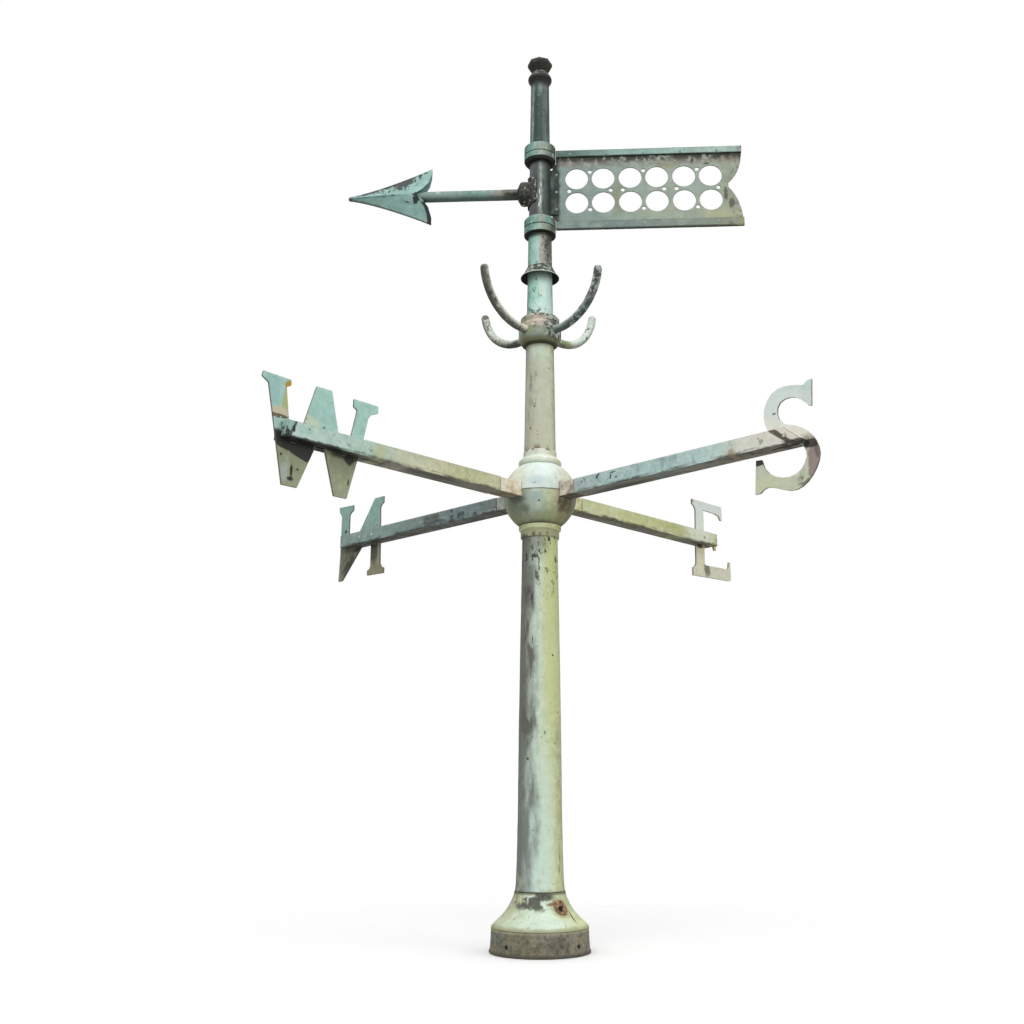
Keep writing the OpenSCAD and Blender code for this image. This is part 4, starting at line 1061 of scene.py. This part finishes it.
def top_tube_patina():
    p = Patina("tube_dark", roughness=0.62, metallic=0.12, seed=37)
    # the lighter band in the left third of these tones is a painted highlight
    p.tones(p.side(0.14, 16), [
        (0.0, "#3a4540"), (0.07, "#5f736d"), (0.13, "#7d918b"), (0.19, "#5f7a73"), (0.26, "#2f4640"),
        (0.36, "#34463f"), (0.42, "#5d6d67"), (0.55, "#78847f"), (0.68, "#4f5a55"), (0.84, "#626b67"),
        (0.94, "#434b47"), (1.0, "#3a423e")])
    p.mottle(0.35, 50)
    p.runs(46, 0.53, 0.60, 12, "#2a3531", 0.85)
    p.runs(40, 0.58, 0.66, 9, "#7d9089", 0.6)
    p.flecks(28, 0.55, 0.66, "#56605c", 0.6)
    p.runs(95, 0.64, 0.70, 6, "#a3b2ab", 0.6)
    for z, wide, high in ((2454, 5, 4), (2421, 5, 3.5), (2305, 7, 2.5), (2388, 3, 5)):
        p.blot(on_round(29.5, 213, z), (wide * MM, wide * MM, high * MM), 0.5, 120, "#c5d6d2", 0.85)
    p.layer(p.heights(2.345, 2.29, raggedness=0.012), "#5f7a73", 0.5)
    p.layer(p.both(p.heights(2.49, 2.44, raggedness=0.01), p.facing(out_from_axis(215), 0.85, 0.95, 0.1)),
            "#22352f", 0.85)
    p.layer(p.heights(2.480, 2.499, raggedness=0.005), "#262b27", 0.85)
    p.grain(220, 0.4)
    return p.done(0.5)


def finial_patina(name, seed):
    p = Patina(name, roughness=0.6, metallic=0.1, seed=seed)
    p.tones(p.noise(36), [(0.3, "#1a1b16"), (0.5, "#2a2b24"), (0.7, "#3f4136")])
    p.mottle(0.4, 80)
    # lighter patches on the top: painted highlight
    p.layer(p.both(p.over(0.2, 0.8), p.patches(50, 0.46, 0.56)), "#a2a59b", 0.8)
    p.flecks(95, 0.64, 0.70, "#5d6152", 0.6)
    # black underside: painted shade
    p.layer(p.under(0.35, 0.8), "#11120e", 0.8)
    p.grain(200, 0.7)
    return p.done(0.7)


ARROW = math.radians(130.7)
ARROW_OUT = (math.cos(ARROW), math.sin(ARROW), 0)
FLAG_OUT = (-ARROW_OUT[0], -ARROW_OUT[1], 0)
ARROW_Z = (low("arrow_shaft").z + high("arrow_shaft").z) / 2


def on_vane(reach, z):
    """A point in the vane's own plane: the arrow's side is positive, the flag's side negative."""
    return ARROW_OUT[0] * reach, ARROW_OUT[1] * reach, z


def boss_patina():
    p = Patina("boss_patina", roughness=0.7, metallic=0.1, seed=39)
    p.tones(p.noise(50), [(0.3, "#22231e"), (0.5, "#34372f"), (0.68, "#55594e")])
    p.mottle(0.5, 90)
    p.flecks(85, 0.56, 0.62, "#a9aba0", 0.85, raise_by=0.4)
    p.flecks(55, 0.60, 0.66, "#4d5f57", 0.6)
    # painted shade in corners, with crevice dirt, from ambient occlusion
    p.layer(p.crevice(0.015), "#161713", 0.8)
    p.grain(260, 0.8)
    return p.done(0.9)


def shaft_patina():
    p = Patina("shaft_patina", roughness=0.75, seed=40)
    reach = p.math("ADD", p.along(ARROW_OUT, p.place), p.wobble(30, 0.04))
    p.tones(p.ramp(reach, 0.0, 0.4), [
        (0.10, "#2f2b25"), (0.17, "#4d463c"), (0.22, "#8d8c82"), (0.28, "#7d8782"), (0.36, "#7a958d"),
        (0.55, "#6b8a82"), (0.75, "#82958f"), (1.0, "#78948c")])
    along = (0.2, 0.2, 1)
    p.flecks(50, 0.52, 0.62, "#536c67", 0.5, stretch=along)
    p.flecks(46, 0.55, 0.62, "#7d7d7d", 0.6, stretch=along)
    p.flecks(52, 0.58, 0.65, "#a5c0b8", 0.7)
    # darker underside: dark tarnish and painted shade
    p.layer(p.under(0.4, 0.9), "#46524d", 0.7)
    p.flecks(90, 0.64, 0.69, "#33322c", 0.85, raise_by=-0.4)
    p.grain(240, 0.5)
    return p.done(0.55)


def head_patina():
    p = Patina("arrow_patina", roughness=0.72, seed=41)
    p.tones(p.noise(12), [(0.3, "#7b9f97"), (0.5, "#89aca4"), (0.7, "#98bab2")])
    reach = p.along(ARROW_OUT, p.place)
    z = p.along((0, 0, 1), p.place)
    p.mottle(0.15, 60)
    p.flecks(30, 0.56, 0.68, "#a5c2ba", 0.4)
    p.flecks(22, 0.58, 0.70, "#7b9390", 0.5)
    above = p.math("SUBTRACT", z, ARROW_Z)
    # how far inside the outline a spot lies, from the upper edge and from the lower one
    station = p.math("MULTIPLY_ADD", reach, -1 / 0.254, 0.580 / 0.254, clamp=True)
    span = p.math("MULTIPLY", p.math("POWER", station, 1.32), 0.0865)
    edge = p.math("SUBTRACT", above, p.math("ADD", span, 0.0075))
    lower = p.math("ADD", above, p.math("ADD", span, 0.0075))
    ragged = p.math("ADD", edge, p.wobble(80, 0.036))
    thick = p.both(p.ramp(ragged, -0.030, -0.024), p.ramp(reach, 0.372, 0.392), p.ramp(reach, 0.455, 0.425))
    thin = p.both(p.ramp(ragged, -0.011, -0.006), p.ramp(reach, 0.36, 0.39), p.ramp(reach, 0.56, 0.53))
    specks = p.both(p.ramp(edge, -0.052, -0.034), p.ramp(reach, 0.350, 0.370), p.ramp(reach, 0.50, 0.45),
                    p.patches(85, 0.53, 0.57))
    tail = p.both(p.ramp(edge, -0.022, -0.012), p.ramp(reach, 0.335, 0.35), p.patches(70, 0.52, 0.57))
    p.layer(p.either(thick, thin, specks), "#363836", 0.96, rough=0.6, raise_by=-0.4)
    p.layer(tail, "#363836", 0.95, rough=0.6)
    # a crease along the ridge, a thin dark lower edge and the tip
    p.layer(p.both(p.ramp(p.math("ABSOLUTE", above), 0.0045, 0.002), p.ramp(reach, 0.40, 0.46),
                   p.patches(30, 0.35, 0.6)), "#4f6f69", 0.7)
    low_edge = p.math("ADD", lower, p.wobble(70, 0.008))
    p.layer(p.ramp(low_edge, 0.007, 0.003), "#4c4a44", 0.85)
    p.layer(p.ramp(p.math("ADD", reach, p.wobble(60, 0.02)), 0.566, 0.576), "#3f3d37", 0.85)
    # where the shaft enters, a painted shade of a hollow, and along the rear edge of the lower barb a dark
    # crescent painted as the shade of an opening
    across = p.math("MULTIPLY", p.math("SUBTRACT", reach, 0.372), 88)
    down = p.math("MULTIPLY", p.math("ADD", above, 0.013), 54)
    hollow = p.math("ADD", p.math("MULTIPLY", across, across), p.math("MULTIPLY", down, down))
    hollow = p.math("ADD", hollow, p.wobble(75, 4.0))
    p.layer(p.ramp(hollow, 1.0, 0.7), "#202522", 0.97, rough=0.6)
    depth = p.math("DIVIDE", above, -0.094)
    rise = p.math("SUBTRACT", 1, depth, clamp=True)
    back = p.math("SUBTRACT", reach, p.math("MULTIPLY_ADD", p.math("POWER", rise, 3), 0.049, 0.326))
    ragged_back = p.math("ADD", back, p.wobble(60, 0.008))
    p.layer(p.both(p.ramp(ragged_back, 0.014, 0.010), p.ramp(depth, 0.20, 0.30)), "#1f2522", 0.97, rough=0.6)
    # faces turned back towards the flag: painted shade
    p.layer(p.facing(FLAG_OUT, 0.35, 0.8, 0.3), "#2b2c27", 0.95)
    p.flecks(120, 0.67, 0.71, "#3f3f39", 0.7, raise_by=-0.3)
    # painted shade in corners, with crevice dirt, from ambient occlusion
    p.layer(p.crevice(0.02), "#2b332f", 0.5)
    p.grain(240, 0.4)
    return p.done(0.5)


def flag_metal(name, seed, tones, extra=None):
    p = Patina(name, roughness=0.72, seed=seed)
    reach = p.along(FLAG_OUT, p.place)
    p.tones(p.ramp(p.math("ADD", reach, p.wobble(9, 0.16)), 0.04, 0.62), tones)
    p.mottle(0.18, 40)
    p.flecks(14, 0.50, 0.70, "#a6b3a8", 0.4)
    p.flecks(19, 0.54, 0.68, "#758480", 0.35)
    p.runs(40, 0.56, 0.68, 4, "#7d8a82", 0.35)
    if extra:
        extra(p, reach)
    p.flecks(110, 0.69, 0.72, "#3b3d36", 0.8, raise_by=-0.3)
    # painted shade in corners, with crevice dirt, from ambient occlusion
    p.layer(p.crevice(0.015), "#2c2f29", 0.7)
    p.grain(220, 0.4)
    return p.done(0.5)


def plate_stains(p, reach):
    # dark and flaking under the top channel
    margin = p.heights(2.212, 2.236, raggedness=0.012, scale=34)
    p.layer(p.both(margin, p.patches(26, 0.34, 0.5)), "#6f6a60", 0.85, rough=0.8)
    p.layer(p.both(margin, p.patches(60, 0.50, 0.58)), "#a09c92", 0.75)
    p.layer(p.both(p.heights(2.230, 2.246, raggedness=0.008, scale=50), p.patches(52, 0.40, 0.50)), "#343630",
            0.9)
    # olive runs and yellower areas towards the far end
    p.blot(on_vane(-0.232, 2.12), (0.022, 0.022, 0.085), 0.45, 24, "#7d7f58", 0.65, soft=0.9)
    p.blot(on_vane(-0.385, 2.215), (0.026, 0.026, 0.020), 0.6, 40, "#8a8660", 0.55, soft=0.8)
    p.blot(on_vane(-0.54, 2.055), (0.08, 0.08, 0.025), 0.6, 35, "#aeae88", 0.6, soft=0.8)
    p.blot(on_vane(-0.35, 2.07), (0.10, 0.10, 0.03), 0.5, 25, "#a0a68c", 0.5, soft=0.9)
    p.blot(on_vane(-0.47, 2.15), (0.07, 0.07, 0.06), 0.5, 25, "#8f9f9d", 0.5, soft=0.9)
    p.blot(on_vane(-0.50, 2.222), (0.012, 0.012, 0.003), 0.3, 90, "#22241f", 0.95)
    p.blot(on_vane(-0.553, 2.12), (0.008, 0.008, 0.030), 0.6, 90, "#4b463c", 0.8)
    p.blot(on_vane(-0.570, 2.09), (0.012, 0.012, 0.022), 0.6, 90, "#4b3d32", 0.8)
    p.layer(p.both(p.ramp(reach, 0.55, 0.59), p.patches(60, 0.50, 0.58)), "#6b5f52", 0.7)
    p.layer(p.ramp(p.math("ADD", reach, p.wobble(40, 0.02)), 0.066, 0.050),
            "#262a26", 0.92)
    # a bent-over dark rim along the far edge
    p.layer(p.ramp(p.math("ABSOLUTE", p.along((ARROW_OUT[1], -ARROW_OUT[0], 0), p.normal)), 0.8, 0.5),
            "#4a463c", 0.8)


def top_channel_stains(p, reach):
    # the dark underside of the channel and the line under it: painted shadow gap
    p.layer(p.under(0.3, 0.7), "#1b1d19", 0.92)
    p.layer(p.heights(2.2585, 2.2545, raggedness=0.001, scale=90), "#252823", 0.88)
    p.layer(p.both(p.ramp(reach, 0.585, 0.60), p.patches(50, 0.35, 0.5)), "#3a3a33", 0.85)
    p.layer(p.both(p.ramp(reach, 0.14, 0.06), p.patches(40, 0.4, 0.5)), "#4a5f58", 0.8)
    p.flecks(30, 0.56, 0.66, "#6b7d74", 0.6, stretch=(0.25, 0.25, 1))


def foot_channel_stains(p, reach):
    p.layer(p.heights(2.0215, 2.0175, raggedness=0.0015, scale=90), "#33352e", 0.85)
    p.layer(p.both(p.ramp(reach, 0.52, 0.59), p.patches(45, 0.45, 0.60)), "#99946a", 0.6)
    p.layer(p.both(p.ramp(reach, 0.54, 0.59), p.patches(70, 0.54, 0.60)), "#5b4a2c", 0.8)
    p.flecks(36, 0.58, 0.66, "#5f6862", 0.7, stretch=(0.3, 0.3, 1))


def plain_metal(name, seed, tones, roughness=0.5, metallic=0.8):
    """Metal that isn't weathered: pieces inside, and fasteners."""
    p = Patina(name, roughness=roughness, metallic=metallic, seed=seed)
    p.tones(p.noise(60), tones)
    p.mottle(0.3, 150)
    p.flecks(90, 0.62, 0.70, "#3a3229", 0.5)
    p.grain(300, 0.3)
    return p.done(0.4)


# ---------------------------------------------------------------- pieces of the column
turned("base_band", COLUMN, base_band_patina(), soft=2, sides=144, dent=1.0, seed=1, step=5)
turned("base_flare", COLUMN, flare_patina(), soft=7, sides=144, dent=1.0, seed=2)
remeshed("flare_patch", COLUMN, patch_patina(), voxel=0.7, dent=0.5, smooth=1, seed=3)
turned("lower_column", COLUMN, column_patina(), soft=1.5, step=8, dent=1.2, seed=4)
turned("neck_ring", COLUMN, neck_patina(), soft=1.5, step=3, dent=0.8, seed=5)
turned("upper_column", COLUMN, upper_column_patina(), soft=1, step=8, dent=1.0, seed=6)
turned("ball_collar", COLUMN, collar_foot_patina(), soft=1.5, step=3, dent=1.0, seed=7)
turned("hook_collar", COLUMN, hook_collar_patina(), soft=3, step=3, dent=1.6, seed=8)
turned("lower_stem", COLUMN, lower_stem_patina(), soft=1, dent=0.8, seed=9)
turned("upper_stem", COLUMN, upper_stem_patina(), soft=1, dent=0.8, seed=10)
turned("drip_skirt", COLUMN, skirt_patina(), soft=1.2, step=3, dent=0.9, seed=11)
turned("bearing_ring", COLUMN, ring_patina("ring_patina_fixed", 33, 1.994, 2.017), soft=1.5, step=4,
       dent=0.6, seed=12)

BALL = Vector((0, 0, ARM_Z))
BALL_R = max((v.co - BALL).length for v in NODES["ball_upper"].data.vertices)


def on_ball(point):
    """Points of the ball's flat outer faces, moved out onto the true sphere."""
    out = point - BALL
    return BALL + out.normalized() * BALL_R if BALL_R - out.length < 1 * MM else point


for name, material, seed in (("ball_lower", ball_lower_patina(), 13),
                             ("ball_upper", ball_upper_patina(), 14)):
    folded(name, COLUMN, material, edge=4, bevel=0.8, dent=1.0, seed=seed, shape=on_ball)

SOCKETS = {
    "east": ([(0.3, "#b9b88c"), (0.5, "#cfcfa2"), (0.7, "#dcdcbc")], "#6a6450"),
    "north": ([(0.3, "#6f7672"), (0.5, "#8e948e"), (0.7, "#a7aca2")], "#3e3f38"),
    "west": ([(0.3, "#b7a687"), (0.5, "#d9cfb4"), (0.7, "#e2dccb")], "#5a5440"),
    "south": ([(0.3, "#8f8676"), (0.5, "#bdb5a6"), (0.7, "#d6d0c2")], "#27251f"),
}
ARM_STAINS = {"east": east_stains, "north": north_stains, "west": west_stains, "south": south_stains}
LETTERS = {
    "east": (("#d6d8ca", "#dadfd6", "#d5ddd6"), ("#d0cfba", "#d2d1b4", "#bfbc9c"), east_letter_stains),
    "north": (("#80998f", "#88a69c", "#88aaa1"), ("#84856e", "#686b5c", "#4b4f45"), north_letter_stains),
    "west": (("#a7c6bb", "#9dc2b8", "#a3c8bd"), ("#949c80", "#8a9173", "#666a54"), west_letter_stains),
    "south": (("#dddcd0", "#d8dcd4", "#c6d8cf"), ("#c5cbb2", "#cad2bf", "#9a9385"), south_letter_stains),
}
for count, side in enumerate(("east", "north", "west", "south")):
    tones, root = SOCKETS[side]
    arm = arm_patina(side, 50 + count, ARM_STAINS[side])
    remeshed("socket_" + side, COLUMN, socket_patina("socket_patina_" + side, 60 + count, tones, root),
             voxel=1.8, dent=1.6, seed=20 + count)
    folded("arm_" + side, COLUMN, arm, edge=10, bevel=1.6, dent=0.9, seed=24 + count)
    folded("cap_" + side, COLUMN, arm, edge=6, bevel=0.5, dent=0.2, seed=28 + count)
    upper, lower, stains = LETTERS[side]
    folded("letter_" + side, COLUMN, letter_patina(side, 70 + count, upper, lower, stains), edge=8,
           bevel=0.7, dent=0.5, seed=32 + count)


def east_rod_stains(p):
    p.layer(p.both(p.mark((0.10, 0, 1.683), (0.045, 0.03, 0.022), 0.4, 50), p.patches(50, 0.40, 0.54)),
            "#84854e", 0.8)
    p.blot((0.09, 0, 1.672), (0.04, 0.03, 0.010), 0.4, 50, "#5b5a3c", 0.7)


def north_rod_stains(p):
    p.blot((0, 0.105, 1.676), (0.03, 0.055, 0.014), 0.5, 60, "#3c4742", 0.85)
    p.layer(p.both(p.heights(1.770, 1.80, raggedness=0.01), p.patches(60, 0.44, 0.54)), "#4b463a", 0.8)


def west_rod_stains(p):
    p.layer(p.both(p.heights(1.77, 1.70, raggedness=0.02), p.facing((0.6, -0.5, 0.6), 0.0, 0.7, 0.5)),
            "#d3d7cb", 0.75)
    p.blot((-0.072, 0, 1.686), (0.018, 0.03, 0.016), 0.4, 60, "#d6d0bb", 0.85)
    p.layer(p.both(p.heights(1.755, 1.80, raggedness=0.02), p.patches(50, 0.42, 0.56)), "#57534b", 0.8)
    p.layer(p.both(p.facing((-0.8, 0.4, -0.4), 0.5, 0.9, 0.4), p.patches(45, 0.40, 0.55)), "#4a4f42", 0.8)


def south_rod_stains(p):
    p.layer(p.both(p.heights(1.725, 1.755, raggedness=0.012), p.patches(40, 0.36, 0.52)), "#b3b9b1", 0.7)
    p.layer(p.both(p.heights(1.72, 1.76), p.patches(56, 0.50, 0.54)), "#2f312d", 0.92, rough=0.6)
    p.layer(p.both(p.heights(1.745, 1.72, raggedness=0.012), p.patches(50, 0.52, 0.62)), "#a3b0aa", 0.6)


# Rods: outer side, inner side, underside (dark tarnish and painted shade)
RODS = {
    "east": (("#b4c2b4", "#d2ddd4", "#8a9280"), east_rod_stains),
    "north": (("#8d9388", "#c0c7bd", "#505449"), north_rod_stains),
    "west": (("#96988d", "#d0d4c7", "#5a5d52"), west_rod_stains),
    "south": (("#76847e", "#a9b5ad", "#464f4a"), south_rod_stains),
}
for count, (side, ((outer, inner, under), stains)) in enumerate(RODS.items()):
    out = ARM_OUT[side]
    inward = (-out[0] * 0.8, -out[1] * 0.8, 0.6)
    remeshed("rod_" + side, COLUMN, rod_patina(side, 80 + count, outer, inner, under, inward, stains),
             voxel=1.5, dent=1.2, smooth=2, seed=40 + count)

# ---------------------------------------------------------------- pieces of the vane
turned("vane_sleeve", VANE, sleeve_patina(), soft=0.5, dent=0.5, seed=50)
RINGS = (("lower", 34, 2.0175, 2.047), ("clamp", 35, 2.232, 2.257), ("cap", 38, 2.257, 2.294))
for count, (ring, seed, foot, head) in enumerate(RINGS):
    turned(ring + "_ring", VANE, ring_patina("ring_patina_" + ring, seed, foot, head), soft=1.5, step=4,
           dent=0.6, seed=51 + count)
turned("top_tube", VANE, top_tube_patina(), soft=0.6, dent=0.7, seed=54)
turned("top_ring", VANE, finial_patina("finial_ring", 42), soft=1.5, step=3, dent=1.2, seed=55)
remeshed("finial", VANE, finial_patina("finial_dark", 43), voxel=1.3, dent=1.6, smooth=2, seed=56)
remeshed("arrow_boss", VANE, boss_patina(), voxel=1.3, dent=6, smooth=1, seed=57, shares=LUMPY)
remeshed("arrow_shaft", VANE, shaft_patina(), voxel=1.6, dent=0.9, seed=58)
folded("arrow_head", VANE, head_patina(), edge=6, bevel=0.4, dent=0.9, hard=20, seed=59)

PLATE_TONES = [(0.0, "#7b8c85"), (0.25, "#87968c"), (0.5, "#8f9d90"), (0.8, "#959f90"), (1.0, "#8f9784")]
TOP_TONES = [(0.0, "#4f6a62"), (0.2, "#7f9d92"), (0.6, "#8cab9f"), (1.0, "#a0b5aa")]
FOOT_TONES = [(0.0, "#6f837d"), (0.5, "#7a8881"), (1.0, "#858d7d")]
folded("flag_plate", VANE, flag_metal("flag_patina", 44, PLATE_TONES, plate_stains), edge=8, bevel=0.4,
       dent=0.5, seed=60)
folded("flag_top_channel", VANE, flag_metal("flag_top_patina", 45, TOP_TONES, top_channel_stains), edge=8,
       bevel=0.8, dent=0.5, seed=61)
folded("flag_foot_channel", VANE, flag_metal("flag_foot_patina", 46, FOOT_TONES, foot_channel_stains),
       edge=8, bevel=0.6, dent=0.4, seed=62)
folded("flag_cleat", VANE, flag_metal("flag_cleat_patina", 47, [(0.0, "#29322d"), (1.0, "#3c4640")]), edge=5,
       bevel=0.8, dent=0.4, seed=63)

# ---------------------------------------------------------------- CAD pieces shown as they are
SCREW = plain_metal("screw_iron", 90, [(0.3, "#211d18"), (0.5, "#37312a"), (0.7, "#5c5347")], 0.7, 0.4)
ARM_RIVET = plain_metal("arm_rivet_patina", 91, [(0.3, "#8f9d90"), (0.5, "#aebbab"), (0.7, "#bccabb")], 0.8,
                        0.0)
FLAG_RIVET = plain_metal("flag_rivet_patina", 95, [(0.3, "#6f887f"), (0.5, "#86a197"), (0.7, "#95b0a5")],
                         0.75, 0.0)
CASTING = plain_metal("inner_casting", 92, [(0.3, "#5c4526"), (0.5, "#7d6034"), (0.7, "#96774a")], 0.6, 0.6)
BRONZE = plain_metal("spindle_bronze", 93, [(0.3, "#8f6c36"), (0.5, "#a98448"), (0.7, "#bd9a5e")], 0.35, 0.9)
STEEL = plain_metal("ball_steel", 94, [(0.3, "#a9abae"), (0.5, "#bfc1c4"), (0.7, "#d3d5d7")], 0.2, 1.0)
CARRIED = {
    SCREW: ("base_screws", "patch_screw"),
    ARM_RIVET: ("letter_rivets",),
    FLAG_RIVET: ("flag_rivets",),
    CASTING: ("hub_cross",),
    BRONZE: ("spindle", "spindle_nut", "lower_bush", "upper_bush", "thrust_cup"),
    STEEL: ("thrust_ball",),
}
for material, names in CARRIED.items():
    for name in names:
        NODES[name].data.materials.clear()
        NODES[name].data.materials.append(material)

# ---------------------------------------------------------------- floor, light and camera
scene = bpy.context.scene
scene.view_settings.view_transform = "Standard"


def floor():
    bm = bmesh.new()
    bmesh.ops.create_circle(bm, cap_ends=True, segments=96, radius=6)
    mesh = mesh_of(bm, "floor")
    obj = new_object("floor", mesh)
    obj.location.z = cad_low.z - 0.0005
    material = bpy.data.materials.new("floor_white")
    material.use_nodes = True
    tree = material.node_tree
    shader = tree.nodes["Principled BSDF"]
    shader.inputs["Base Color"].default_value = (0.93, 0.93, 0.93, 1)
    shader.inputs["Roughness"].default_value = 0.9
    coords = tree.nodes.new("ShaderNodeTexCoord")
    reach = tree.nodes.new("ShaderNodeVectorMath")
    reach.operation = "LENGTH"
    fade = tree.nodes.new("ShaderNodeMapRange")
    fade.interpolation_type = "SMOOTHSTEP"
    fade.inputs["From Min"].default_value = 1.5
    fade.inputs["From Max"].default_value = 0.3
    tree.links.new(coords.outputs["Object"], reach.inputs[0])
    tree.links.new(reach.outputs["Value"], fade.inputs["Value"])
    tree.links.new(fade.outputs[0], shader.inputs["Alpha"])
    mesh.materials.append(material)


def world_light():
    """White where the camera sees it; as a light, brighter above than below."""
    world = bpy.data.worlds.new("studio")
    scene.world = world
    world.use_nodes = True
    tree = world.node_tree
    background = tree.nodes["Background"]
    seen = tree.nodes.new("ShaderNodeBackground")
    seen.inputs["Color"].default_value = (1, 1, 1, 1)
    mix = tree.nodes.new("ShaderNodeMixShader")
    path = tree.nodes.new("ShaderNodeLightPath")
    coords = tree.nodes.new("ShaderNodeTexCoord")
    split = tree.nodes.new("ShaderNodeSeparateXYZ")
    ramp = tree.nodes.new("ShaderNodeMapRange")
    ramp.inputs["From Min"].default_value = -1
    ramp.inputs["To Min"].default_value = 0.27
    ramp.inputs["To Max"].default_value = 0.95
    tree.links.new(coords.outputs["Generated"], split.inputs[0])
    tree.links.new(split.outputs["Z"], ramp.inputs["Value"])
    tree.links.new(ramp.outputs[0], background.inputs["Strength"])
    background.inputs["Color"].default_value = (1, 1, 1, 1)
    tree.links.new(path.outputs["Is Camera Ray"], mix.inputs["Fac"])
    tree.links.new(background.outputs[0], mix.inputs[1])
    tree.links.new(seen.outputs[0], mix.inputs[2])
    tree.links.new(mix.outputs[0], tree.nodes["World Output"].inputs["Surface"])


def area_light(name, place, target, size, power):
    light = bpy.data.lights.new(name, "AREA")
    light.size = size
    light.energy = power
    obj = bpy.data.objects.new(name, light)
    scene.collection.objects.link(obj)
    obj.location = place
    obj.rotation_euler = (Vector(target) - Vector(place)).to_track_quat("-Z", "Y").to_euler()


# The camera's heading clockwise from north, its upward tilt, its distance from the axis and its height
HEADING, TILT = math.radians(46.3), math.radians(13.63)
CAMERA_REACH, CAMERA_Z = 3.027, 0.42


def camera():
    data = bpy.data.cameras.new("photo_view")
    obj = bpy.data.objects.new("photo_view", data)
    scene.collection.objects.link(obj)
    obj.location = (-CAMERA_REACH * math.sin(HEADING), -CAMERA_REACH * math.cos(HEADING), CAMERA_Z)
    look = Vector((math.sin(HEADING) * math.cos(TILT), math.cos(HEADING) * math.cos(TILT), math.sin(TILT)))
    obj.rotation_euler = look.to_track_quat("-Z", "Y").to_euler()
    data.sensor_width = 36
    data.lens = 39.2
    data.shift_x = -0.0273
    scene.camera = obj


floor()
world_light()
area_light("overhead_front", (-2.2, -1.2, 4.6), (0, 0, 1.3), 3.0, 88)
area_light("fill_right", (0.6, -4.2, 2.6), (0, 0, 1.4), 2.6, 36)
camera()
